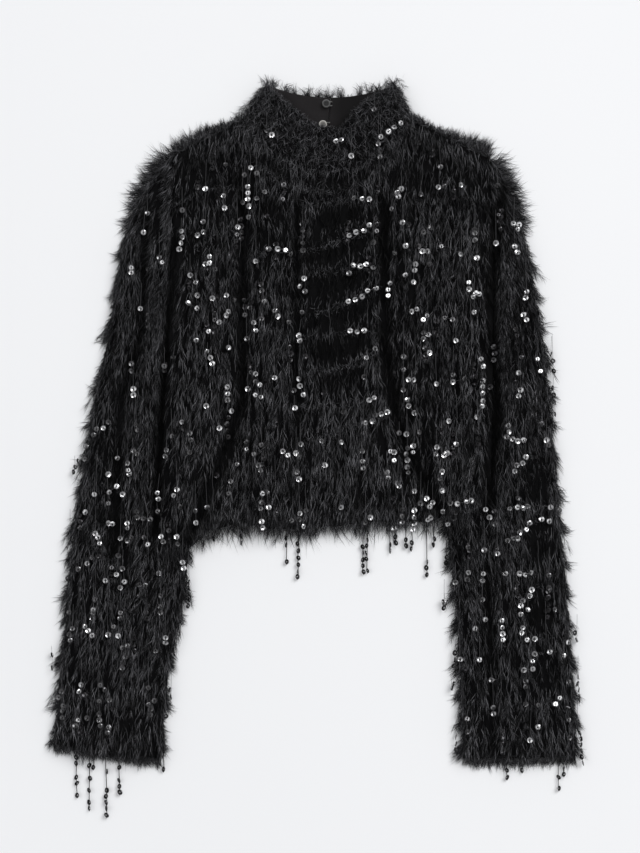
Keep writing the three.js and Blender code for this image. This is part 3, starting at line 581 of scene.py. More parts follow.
def sleeveCloth(side):
    over, under, rows = 36, 12, 120
    at = np.linspace(0, 11, rows)[:, None]

    def ring(inset, bevel, skin, floor):
        s = 0.5 - 0.5 * np.cos(np.pi * np.linspace(0, 1, over))[None]
        x, y, low, room = sleeveAt(side, at, mixed(inset, 1 - inset, s))
        edge = cloth["wall"] + cloth["edgeGap"] / 2
        rise = (cloth["plain"] - cloth["edgeGap"]) * room + cloth["edgeGap"] / 2 + skin
        top = stacked(x, y, low + edge + rise * dome(s))
        s = np.linspace(1 - inset - bevel, inset + bevel, under)[None]
        x, y, low, room = sleeveAt(side, at, s)
        return np.concatenate([top, stacked(x, y, low + floor)], 1)

    outer = ring(inset=0, bevel=0.022, skin=cloth["wall"], floor=0.8)
    inner = ring(inset=0.012, bevel=0.012, skin=0.2, floor=1.9)
    n, count = outer.shape[0] * outer.shape[1], outer.shape[1]
    index = np.arange(n).reshape(rows, count)
    flip = side == "right"
    faces = [gridFaces(rows, count, 0, flip, True), gridFaces(rows, count, n, not flip, True)]
    for edge, turned in ((index[0], flip), (index[-1], not flip)):
        rim = rimFaces(edge, edge + n, closed=True)
        faces.append(rim[:, ::-1] if turned else rim)
    points = np.concatenate([outer.reshape(-1, 3), inner.reshape(-1, 3)])
    return meshPiece("sleeveCloth" + side.capitalize(), points, faces, ground)


def collarCloth():
    split = math.asin(collar["split"] / collar["base"]["half"])
    around = np.linspace(math.pi / 2 + split, 2.5 * math.pi - split, 140)
    angle, high = np.meshgrid(around, np.linspace(1, 0, 16))
    outer, inner = (stacked(*collarAt(angle, high, inset)) for inset in (0, collar["band"]))
    return slabPiece("collarCloth", outer, inner, ground)


def facingCloth(side):
    # The ripple is slack in the facing
    turn, inner, outer, slack = 0.12, 3.1, 2.1, 0.35
    away = 1 if side == "left" else -1
    split = math.asin(collar["split"] / collar["base"]["half"])
    near, far = math.pi / 2 + away * split * turn, math.pi / 2 + away * (math.pi / 2 - turn)
    angle, high = np.meshgrid(np.linspace(near, far, 60), np.linspace(1, 0.04, 22))
    ripple = slack * np.sin(9 * angle + 4 * high) * bell(high - 0.4, 0.5)
    x, y, z = collarAt(angle, high, inner)
    lower = stacked(*collarAt(angle, high, outer))
    return slabPiece("facing" + side.capitalize(), stacked(x, y, z + ripple), lower, satin)


cloths = {"frontCloth": frontCloth(), "backCloth": backCloth(), "collarCloth": collarCloth()}
for side in sleeves:
    cloths["sleeve" + side] = sleeveCloth(side)
    cloths["facing" + side] = facingCloth(side)
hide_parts("front_panel")
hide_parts("back_panel")
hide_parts("collar")
for side in sleeves:
    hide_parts("sleeve_" + side)
    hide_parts("facing_" + side)
print("cloth laid out")


# Pile: every hair is a tapering ribbon of a quad and a point
# A hair's shade lifts its black colour towards a painted sheen, so the brightest hairs are painted glints.
hair = {"stops": (0.0, 0.5, 1.0), "width": 0.30, "highest": 38.0, "stemEvery": 2.2, "bodyStem": 62, "sleeveStem": 50}


def growHair(name, seed, hairs, chart, grooved=True):
    # hairs: x, y, turn (plan angle), length, bend, root, middle and tip heights, shade and wide (a share of the width)
    rng = np.random.default_rng(seed)
    x, y, turn, length, bend, root, middle, tip, shade = (np.asarray(hairs[k], float) for k in (
        "x", "y", "turn", "length", "bend", "root", "middle", "tip", "shade"))
    n = len(x)
    stops = hair["stops"]
    phase, wave = rng.uniform(0, 2 * np.pi, n), rng.normal(0, 0.12, n)
    xs, ys = [x], [y]
    headings = []
    for a, b in zip(stops[:-1], stops[1:]):
        heading = turn + bend * (a + b) / 2 + wave * np.sin(5.5 * (a + b) / 2 + phase)
        headings.append(heading)
        xs.append(xs[-1] + length * (b - a) * np.cos(heading))
        ys.append(ys[-1] + length * (b - a) * np.sin(heading))
    zs = [np.clip(chart(px, py) + h, 0.35, hair["highest"]) for px, py, h in zip(xs, ys, (root, middle, tip))]
    roll = rng.uniform(-1.25, 1.25, n)
    half = hair["width"] / 2 * rng.uniform(0.7, 1.3, n) * hairs["wide"]
    points = np.empty((n, 5, 3))
    for k, taper in enumerate((1.0, 0.85)):
        side = np.stack([-np.sin(headings[k]) * np.cos(roll), np.cos(headings[k]) * np.cos(roll), np.sin(roll)], -1)
        centre = np.stack([xs[k], ys[k], zs[k]], -1)
        points[:, 2 * k] = centre + side * (half * taper)[:, None]
        points[:, 2 * k + 1] = centre - side * (half * taper)[:, None]
    points[:, 4] = np.stack([xs[2], ys[2], zs[2]], -1)
    points[..., 2] = np.maximum(points[..., 2], 0.2)
    base = (np.arange(n) * 5)[:, None]
    quads, tips = base + np.array([[0, 1, 3, 2]]), base + np.array([[2, 3, 4]])
    # Painted shade: hair is painted darker in the grooves, and darker at its root than along its length.
    groove = np.stack([grooveAt(px, py) for px, py in zip(xs, ys)], 1) if grooved else np.zeros((n, 3))
    shades = (shade[:, None] * (1 - 0.95 * groove) * np.array([0.5, 1.05, 1.0]))[:, [0, 0, 1, 1, 2]].ravel()
    shades = np.clip(shades, 0, 1)
    return meshPiece(name, points.reshape(-1, 3), [quads, tips], fibre, shades, smooth=False, planar=True)


# Plainer cloth, where hair is short and painted darker as shade, between a tier's head and the next, by picture
# place: middle, half width, half height and strength
plainShadedPatches = [
    (338, 285, 38, 112, 0.9), (271, 228, 18, 40, 0.7), (420, 170, 34, 28, 0.6), (220, 172, 34, 22, 0.6),
    (405, 300, 12, 90, 0.4), (522, 330, 16, 40, 0.6), (536, 475, 15, 28, 0.9), (538, 536, 14, 26, 0.9),
    (540, 606, 16, 30, 0.9), (546, 668, 14, 24, 0.7), (105, 470, 16, 60, 0.5), (120, 540, 12, 50, 0.5),
    (190, 240, 16, 22, 0.5), (270, 165, 30, 16, 0.6), (430, 400, 14, 60, 0.4), (100, 330, 20, 60, 0.4),
    (205, 185, 62, 34, 0.45), (455, 185, 55, 32, 0.4), (330, 150, 60, 30, 0.3), (330, 172, 40, 14, 0.7),
    (455, 540, 14, 30, 0.8), (176, 545, 12, 24, 0.8),
]


def plainAndShaded(x, y):
    most = np.zeros(np.shape(x))
    for px, py, wide, tall, strength in plainShadedPatches:
        cx, cy = fromPicture(px, py)
        reach = np.hypot((x - cx) / (wide * picture["scale"]), (y - cy) / (tall * picture["scale"]))
        most = np.maximum(most, strength * eased(1.15, 0.7, reach))
    return most


def tierPhase(x, y):
    # 0 at the head of a tier and 1 at the head of the next, with the rows' slopes
    top = topY(x, body["frontDip"])
    slope = 9 * eased(30, 60, x) * eased(100, 60, x) + 5 * np.sin(x / 37.0)
    down = np.clip((top - y + slope) / (top - hemY(x)), 0, 0.999) * tiers["body"]
    return down - np.floor(down)


def hairSet(x, y, turn, length, bend, heights, shade, wide=1.0):
    # heights are those of the root, the middle and the tip over the cloth
    root, middle, tip = heights
    return {"x": x, "y": y, "turn": turn, "length": length, "bend": bend, "root": root, "middle": middle,
            "tip": tip, "shade": shade, "wide": np.zeros(len(x)) + wide}


def feather(rng, stems, count, spread=(0.0, 0.42), size=(7, 18), lift=4.2, fan=(-1.2, 3.6)):
    # Hairs on both sides of hanging stems. A stem has x, y, turn, length, lift and shade.
    sx, sy, turn, length, rise, tone = stems.T
    n = len(sx) * count
    pick = np.repeat(np.arange(len(sx)), count)
    t = rng.uniform(0, 1, n) ** 0.85
    side = rng.choice([-1.0, 1.0], n)
    curve = rng.normal(0, 0.12, len(sx))[pick]
    heading = turn[pick] + curve * t
    x = sx[pick] + length[pick] * t * np.cos(turn[pick] + curve * t / 2)
    y = sy[pick] + length[pick] * t * np.sin(turn[pick] + curve * t / 2)
    opened = rng.uniform(*spread, n)
    long = rng.uniform(*size, n) * (1 - 0.3 * t)
    stray = rng.random(n) < 0.06
    long = np.where(stray, long * 1.25, long)
    low = (0.7 + lift * t) * rise[pick]
    # Few hairs are painted bright, as glints of sheen on the black fibre.
    paintedGlint = 2.4 * rng.uniform(0.0, 1.0, n) ** 6.2
    up = rng.uniform(*fan, n) * np.where(stray, 1.8, 1) * rise[pick]
    return hairSet(x + rng.normal(0, 0.5, n), y + rng.normal(0, 0.5, n), heading + side * opened, long,
                   -side * opened * rng.uniform(-0.1, 0.7, n), (low, low + 0.85 * up + 0.6, low + 0.8 * up),
                   np.clip(tone[pick] * paintedGlint * (0.65 + 0.5 * t), 0, 1), np.where(paintedGlint > 0.5, 1.3, 0.95))


def joined(*sets):
    return {k: np.concatenate([s[k] for s in sets]) for k in sets[0]}


def kept(hairs, keep):
    return {k: v[keep] for k, v in hairs.items()}


def stemRow(rng, x, y, turn, length):
    n = len(x)
    groove = grooveAt(x, y)
    # The last column is the stem's shade, painted darker in the grooves as shade.
    return np.stack([x + rng.normal(0, 1.2, n), y + rng.normal(0, 5.0, n), turn + rng.normal(0, 0.14, n),
                     length * rng.uniform(0.85, 1.15, n), (1 - 0.65 * groove) * rng.uniform(0.8, 1.15, n),
                     rng.uniform(0.7, 1.0, n) * (1 - 0.6 * groove)], -1)


tiers = {"body": 11, "bodyWide": 352, "sleevePitch": 37.5, "stemLong": 33.0}


def bodyStems(rng, first, last):
    rows = []
    for k in range(first, last):
        count = int(tiers["bodyWide"] / hair["stemEvery"])
        across = (np.arange(count) + 0.5) / count
        down = np.full(count, (k + 0.02) / tiers["body"])
        x, y = panelXY(across, down, body["frontDip"])
        x2, y2 = panelXY(across, down + 0.04, body["frontDip"])
        heading = np.arctan2(y2 - y, x2 - x)
        lean = np.where(x < 0, -1, 1) * 0.25 * eased(0.86, 1.0, np.abs(2 * across - 1))
        rows.append(stemRow(rng, x, y - 2, heading + lean, tiers["stemLong"]))
    return np.concatenate(rows)


def settled(rng, hairs, phase):
    # Hair is thin and painted darker as shade in the grooves, and short and painted darker as shade on the plain parts
    # below a tier's head
    groove, plain = grooveAt(hairs["x"], hairs["y"]), plainAndShaded(hairs["x"], hairs["y"])
    between = eased(0.2, 0.42, phase) * eased(1.0, 0.8, phase)
    clump = 0.5 + 0.5 * np.sin(hairs["x"] / 6.4 + 2.2 * np.sin(hairs["y"] / 23.0) + 1.7 * np.sin(hairs["x"] / 31.0))
    dim = (1 - 0.92 * groove) * (1 - (0.25 + 0.68 * plain) * between) * (1 - 0.5 * plain)
    dim = dim * (1.22 - 0.62 * clump * eased(0.1, 0.5, phase) * eased(1.0, 0.86, phase))
    hairs["shade"] = hairs["shade"] * dim
    hairs["length"] = hairs["length"] * (1 - 0.45 * plain)
    for key in ("middle", "tip"):
        hairs[key] = hairs[key] * (1 - 0.5 * plain * between) * (1 - 0.5 * groove)
    return kept(hairs, rng.random(len(groove)) > np.maximum(0.6 * groove, 0.55 * plain))


# Parts of the front's pile: name, first and last tier, and the heights between which its edge hair lies
frontParts = [
    ("pileFrontUpper", 0, 4, 275, 600), ("pileFrontMiddle", 4, 8, 130, 275), ("pileFrontLower", 8, 11, -200, 130),
]


def frontPile():
    rng = np.random.default_rng(11)
    made = []
    edges = joined(bodyEdges(rng), headHair(rng, headRows))
    for name, first, last, low, high in frontParts:
        hairs = feather(rng, bodyStems(rng, first, last), hair["bodyStem"])
        hairs = settled(rng, hairs, tierPhase(hairs["x"], hairs["y"]))
        part = kept(edges, (edges["y"] >= low) & (edges["y"] < high))
        made.append(growHair(name, 21 + first, joined(hairs, part), wholeMap))
    return made


def sleeveStems(rng, side):
    along = np.linspace(0, 11, 400)
    x, y, _, _ = sleeveAt(side, along, 0.0)
    run = np.concatenate([[0], np.cumsum(np.hypot(np.diff(x), np.diff(y)))])
    count = round(run[-1] / tiers["sleevePitch"])
    rows = []
    for k in range(count):
        at = np.interp(run[-1] * (k + 0.03) / count, run, along)
        ends = [sleeveAt(side, np.array(at), v)[:2] for v in (0.0, 1.0)]
        wide = math.dist(ends[0], ends[1])
        n = max(5, int(wide / hair["stemEvery"]))
        s = (np.arange(n) + 0.3) / n
        a = np.full(n, at)
        x, y, _, _ = sleeveAt(side, a, s)
        x2, y2, _, _ = sleeveAt(side, a + 0.15, s)
        heading = np.arctan2(y2 - y, x2 - x)
        outward = 1 if side == "right" else -1
        lean = outward * (0.05 * eased(0.2, 0.0, s) - 0.06 * eased(0.9, 1.0, s) * (at > 7.5))
        rows.append(stemRow(rng, x, y, heading + lean, np.minimum(tiers["stemLong"], np.hypot(x2 - x, y2 - y) * 5)))
    stems = np.concatenate(rows)
    return stems[~onBody(stems[:, 0], stems[:, 1], body["frontDip"], 3.0)]


# Fuzzy heads of the tiers that show as lines, by picture place: path, hairs to a millimetre, shortest and longest
headRows = [
    ([(297, 204), (325, 202), (350, 199), (378, 200)], 5.5, 4, 9),
    ([(297, 250), (320, 247), (349, 237), (365, 231), (378, 221)], 5.5, 4, 10),
    ([(300, 273), (350, 268), (380, 266)], 5.0, 4, 9),
    ([(303, 316), (330, 309), (350, 301), (366, 293), (380, 287)], 5.5, 4, 10),
    ([(303, 337), (350, 332), (372, 330)], 5.0, 4, 9), ([(305, 374), (340, 368), (362, 360), (380, 345)], 5.5, 4, 10),
    ([(300, 406), (345, 403), (378, 397)], 5.0, 4, 9), ([(303, 442), (350, 428), (375, 416), (390, 410)], 5.5, 4, 10),
    ([(240, 132), (258, 163), (288, 186), (330, 191), (365, 182), (385, 166), (404, 138)], 7.0, 6, 13),
    ([(235, 118), (262, 150), (295, 168), (330, 172), (362, 165), (392, 145), (412, 118)], 4.0, 6, 12),
    ([(176, 205), (200, 190), (228, 186), (243, 190)], 4.0, 4, 9), ([(198, 245), (222, 232), (243, 226)], 4.0, 4, 9),
    ([(252, 257), (270, 250), (294, 252)], 4.0, 4, 9), ([(392, 212), (415, 202), (450, 196), (480, 200)], 3.5, 4, 10),
    ([(403, 250), (430, 246), (462, 250), (484, 244)], 3.0, 4, 9),
]
sleeveHeads = [
    ([(498, 441), (523, 438), (552, 428)], 5.0, 4, 10), ([(512, 474), (524, 458), (548, 452)], 4.0, 4, 9),
    ([(494, 510), (530, 506), (560, 508)], 5.0, 4, 10),
    ([(500, 541), (518, 535), (532, 520), (556, 516)], 4.0, 4, 10),
    ([(494, 575), (530, 572), (560, 570)], 5.0, 4, 10), ([(516, 606), (532, 588), (560, 584)], 4.0, 4, 9),
    ([(496, 642), (535, 638), (565, 634)], 5.0, 4, 10), ([(518, 670), (535, 652), (562, 648)], 4.0, 4, 9),
    ([(494, 706), (540, 704), (572, 698)], 5.0, 4, 10), ([(80, 490), (100, 484), (125, 492)], 4.0, 4, 9),
    ([(72, 562), (95, 556), (124, 566)], 4.0, 4, 9), ([(62, 640), (90, 630), (120, 636)], 4.0, 4, 9),
]


def headHair(rng, rows):
    sets = []
    for path, thick, short, long in rows:
        px, py = fromPicture(*zip(*path))
        run = np.concatenate([[0], np.cumsum(np.hypot(np.diff(px), np.diff(py)))])
        n = int(run[-1] * thick * 0.7)
        at = rng.uniform(0, run[-1], n)
        x, y = np.interp(at, run, px) + rng.normal(0, 1, n), np.interp(at, run, py) + rng.normal(0, 2.4, n)
        up = rng.uniform(1.5, 5.2, n)
        # Few of these hairs are painted bright, as glints of sheen.
        sets.append(hairSet(x, y, -np.pi / 2 + rng.normal(0, 0.75, n), rng.uniform(0.6 * short, 0.8 * long, n),
                            rng.normal(0, 1.1, n), (up * 0.6, up + 0.3, up),
                            np.clip(2.0 * rng.uniform(0, 1, n) ** 3.6, 0, 1) * rng.uniform(0.5, 1.0)))
    return joined(*sets)


def spikes(rng, x, y, turn, size, each=3, lift=2.2, gather=0.7, wide=1.9):
    # Locks of a few hairs that meet at their tips, and stand off an edge
    pick = np.repeat(np.arange(len(x)), each)
    n = len(pick)
    off, length = rng.normal(0, 1.1, n), size[pick] * rng.uniform(0.7, 1.05, n)
    up = rng.uniform(0.2, 1.0, n) * lift
    curl = rng.normal(0, 0.75, len(x))[pick]
    return hairSet(x[pick] - np.sin(turn[pick]) * off, y[pick] + np.cos(turn[pick]) * off,
                   turn[pick] - gather * off / length - curl * 0.4 + rng.normal(0, 0.07, n), length,
                   curl + rng.normal(0, 0.12, n), (np.full(n, 0.4), up, up * 0.8),
                   0.5 * rng.uniform(0.0, 1.0, n) ** 2, wide)


# Where each tier's fan of hair ends on a sleeve's outer edge, by picture y
tierFeet = {
    "left": [120, 149, 160, 174, 206, 234, 262, 305, 347, 396, 432, 470, 497, 539, 566, 604, 626, 673, 714, 754, 790],
    "right": [120, 150, 172, 203, 232, 275, 305, 335, 372, 402, 432, 470, 505, 536, 572, 602, 635, 676, 702, 731, 760,
              790],
}

# Locks on the edges: how many, how far they reach on the inner edges, and what the cuffs' are longer by
edgeLocks = {"outer": 1900, "inner": 1050, "innerFrom": 190.0, "innerReach": {"left": 0.85, "right": 1.1},
             "cuff": 420, "cuffLonger": {"left": 0.0, "right": 4.0}, "hem": 1050, "single": 150, "tufts": 34, "each": 9}


def alongSleeve(side, s):
    # Places down one edge of a sleeve, with the way it hangs and the distance from its top
    rows = np.linspace(0, 11, 600)
    x, y, _, _ = sleeveAt(side, rows, s)
    run = np.concatenate([[0], np.cumsum(np.hypot(np.diff(x), np.diff(y)))])
    return x, y, np.arctan2(np.gradient(y), np.gradient(x)), run


def sleeveEdges(rng, side):
    # Each tier ends in a fan of locks, longest at its foot
    outward = -1 if side == "left" else 1
    sets = []
    v = edgeLocks
    outer = (0.012, outward, v["outer"], 0.0, 1.0)
    inner = (0.985, -outward, v["inner"], v["innerFrom"], v["innerReach"][side])
    for s, away, count, first, reach in (outer, inner):
        x, y, heading, run = alongSleeve(side, s)
        at = rng.uniform(first, run[-1] - 6, count)
        px, py, way = (np.interp(at, run, a) for a in (x, y, heading))
        feet = tierFeet[side]
        foot = np.interp(picture["hemY"] - py / picture["scale"] + 7, feet, range(len(feet))) % 1.0
        cap = eased(110, 50, at) if s < 0.5 else np.zeros(count)
        out = mixed(0.2 + 0.55 * foot, 0.95, cap) + rng.normal(0, 0.3 + 0.25 * cap, count)
        size = reach * mixed(5 + 15 * foot ** 1.3, 23 + 6 * foot, cap) * rng.uniform(0.6, 1.2, count)
        if s > 0.5:
            free = ~onBody(px, py, body["frontDip"], -2.0)
            px, py, way, out, size = (a[free] for a in (px, py, way, out, size))
        sets.append(spikes(rng, px, py, way + away * out, size))
    n = v["cuff"]
    x, y, _, _ = sleeveAt(side, np.full(n, 10.93), rng.uniform(0.01, 0.99, n))
    way = -np.pi / 2 + rng.normal(0, 0.3, n)
    sets.append(spikes(rng, x, y, way, rng.uniform(7, 17, n) + v["cuffLonger"][side], lift=1.6))
    return joined(*sets)


def bodyEdges(rng):
    v = edgeLocks
    n = v["hem"]
    across = rng.uniform(0.004, 0.996, n)
    x, y = panelXY(across, rng.uniform(0.95, 0.99, n), body["frontDip"])
    fall = rng.uniform(13, 40, n) * (0.9 + 0.25 * np.sin(across * 47) * np.sin(across * 19))
    sets = [spikes(rng, x, y, -np.pi / 2 + rng.normal(0, 0.28, n), fall, lift=3.6)]
    for outward, low, high in ((1, 0.0, 0.26), (-1, 0.74, 1.0)):
        tufts = rng.uniform(low, high, v["tufts"])
        single = rng.uniform(low, high, v["single"])
        tufted = np.repeat(tufts, v["each"]) + rng.normal(0, 0.006, v["tufts"] * v["each"])
        across = np.concatenate([single, tufted])
        n = len(across)
        x, y = panelXY(np.clip(across, 0.004, 0.996), np.full(n, 0.004), body["frontDip"])
        size = np.where(np.arange(n) < v["single"], rng.uniform(4, 9, n), rng.uniform(6, 13, n))
        size = size * (1 + 1.1 * eased(0.2, 0.02, np.minimum(across, 1 - across)))
        way = np.pi / 2 + outward * 0.45 + rng.normal(0, 0.6, n)
        sets.append(spikes(rng, x, y, way, size, lift=3.0, gather=0.6))
    return joined(*sets)


def sleevePile(side, seed):
    rng = np.random.default_rng(seed)
    stems = sleeveStems(rng, side)
    heads = [row for row in sleeveHeads if (row[0][0][0] > picture["centreX"]) == (side == "right")]
    hairs = feather(rng, stems, hair["sleeveStem"])
    phase = np.clip(np.hypot(hairs["x"] - np.repeat(stems[:, 0], hair["sleeveStem"]),
                             hairs["y"] - np.repeat(stems[:, 1], hair["sleeveStem"])) / tiers["sleevePitch"], 0, 0.99)
    hairs = settled(rng, hairs, phase)
    hairs = kept(hairs, ~onBody(hairs["x"], hairs["y"], body["frontDip"], 1.0))
    hairs = joined(hairs, sleeveEdges(rng, side), headHair(rng, heads))
    return growHair("pileSleeve" + side.capitalize(), seed + 1, hairs, sleeveMap)


# Hair on the collar: short curls, hairs over the front's edge, and the locks along the back's edge and the ends
collarHair = {"curls": 2600, "over": 1500, "single": 50, "tufts": 13, "each": 11, "end": 90}


def collarPile():
    rng, v = np.random.default_rng(71), collarHair
    rows = []
    for high, length in ((0.97, 12), (0.72, 14), (0.45, 15), (0.18, 18)):
        angle = np.linspace(math.pi * 1.01, math.pi * 1.99, 62)
        x, y, _ = collarAt(angle, high, 0)
        x2, y2, _ = collarAt(angle, high - 0.1, 0)
        rows.append(stemRow(rng, x, y, np.arctan2(y2 - y, x2 - x), length))
    hairs = feather(rng, np.concatenate(rows), 26, spread=(0.1, 0.9), size=(7, 14), lift=2.5)
    hairs["bend"] = hairs["bend"] + rng.normal(0, 0.7, len(hairs["x"]))
    hairs["shade"] = hairs["shade"] * 0.8
    n = v["curls"]
    angle, high = rng.uniform(math.pi, math.pi * 2, n), rng.uniform(0, 1, n)
    x, y, _ = collarAt(angle, high, 0)
    up = rng.uniform(1.0, 4.5, n)
    curls = hairSet(x, y, -np.pi / 2 + rng.normal(0, 0.8, n), rng.uniform(5, 11, n), rng.normal(0, 1.3, n),
                    (up * 0.5, up + 0.2, up), np.clip(1.3 * rng.uniform(0, 1, n) ** 4.5, 0, 1))
    n = v["over"]
    angle = rng.uniform(math.pi * 1.03, math.pi * 1.9, n)
    x, y, z = collarAt(angle, np.full(n, 0.985), 0)
    root = z - wholeMap(x, y)
    over = hairSet(x, y, rng.uniform(-0.3, 1.0, n) * np.pi, rng.uniform(3.0, 7.5, n), rng.normal(0, 1.6, n),
                   (root, root + 0.9, root + 0.6), np.clip(1.1 * rng.uniform(0, 1, n) ** 3.5, 0, 1))
    tufts = np.linspace(0.3, math.pi - 0.3, v["tufts"]) + rng.normal(0, 0.05, v["tufts"])
    tufted = v["tufts"] * v["each"]
    angle = np.concatenate([rng.uniform(0.12, math.pi - 0.12, v["single"]),
                            np.repeat(tufts, v["each"]) + rng.normal(0, 0.022, tufted)])
    sides = np.concatenate([rng.normal(math.pi, 0.1, v["end"]), rng.normal(2 * math.pi, 0.1, v["end"])])
    back, ends = len(angle), len(sides)
    rise = np.concatenate([np.ones(back), rng.uniform(0.0, 0.94, ends)])
    endWay = np.where(sides < 1.5 * math.pi, np.pi * 0.94, np.pi * 0.06)
    way = np.concatenate([np.full(back, np.pi / 2), endWay]) + rng.normal(0, 0.5, back + ends)
    reach = np.concatenate([rng.uniform(2, 6, v["single"]), rng.uniform(8, 20, tufted), rng.uniform(4, 10, ends)])
    x, y, z = collarAt(np.concatenate([angle, sides]), rise, 0)
    edge = spikes(rng, x, y, way, reach, each=3, gather=0.5, wide=1.5)
    root = np.repeat(z - wholeMap(x, y), 3)
    edge["bend"] = edge["bend"] * 2.2
    for key, up in (("root", 0), ("middle", 1.3), ("tip", 1.4)):
        edge[key] = root + up
    hairs = joined(hairs, curls, over, edge)
    return growHair("pileCollar", 72, hairs, wholeMap)


pileNodes = {"front": frontPile(), "left": sleevePile("left", 31), "right": sleevePile("right", 41),
             "collar": collarPile()}
print("pile grown")

underRows = {"bodyStems": 20, "sleeveRows": 17, "sleeveStems": 7, "long": 32, "sleeveLong": 30, "each": 26}


def underPile():
    # Sparse pile pressed flat between the cloth and the surface
    rng, v = np.random.default_rng(81), underRows
    flat = HeightMap()
    sets = []
    n = v["bodyStems"]
    for k in range(tiers["body"]):
        x, y = panelXY((np.arange(n) + 0.5) / n, np.full(n, (k + 0.02) / tiers["body"]), body["backDip"])
        sets.append(stemRow(rng, x, y, np.full(n, -np.pi / 2), v["long"]))
    n = v["sleeveStems"]
    for side in sleeves:
        for at in np.linspace(0.6, 10.6, v["sleeveRows"]):
            s = (np.arange(n) + 0.5) / n
            x, y, _, _ = sleeveAt(side, np.full(n, at), s)
            x2, y2, _, _ = sleeveAt(side, np.full(n, at + 0.15), s)
            sets.append(stemRow(rng, x, y, np.arctan2(y2 - y, x2 - x), v["sleeveLong"]))
    hairs = feather(rng, np.concatenate(sets), v["each"], lift=0, fan=(0, 0))
    x, y = hairs["x"], hairs["y"]
    low = np.where(onBody(x, y, body["backDip"]), backFloor(x, y), 0)
    for key in ("root", "middle", "tip"):
        hairs[key] = low + rng.uniform(0.25, 0.7, len(x))
    return growHair("pileUnder", 82, hairs, flat, grooved=False)


under = underPile()
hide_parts("hem_fringe")
for side in sleeves:
    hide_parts(f"cuff_fringe_{side}", f"inner_fringe_{side}",
                *[f"edge_fringe_{side}_{part}" for part in ("upper", "middle", "lower")])
    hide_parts(f"shoulder_fringe_{side}")
    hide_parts(f"collar_fringe_{side}")


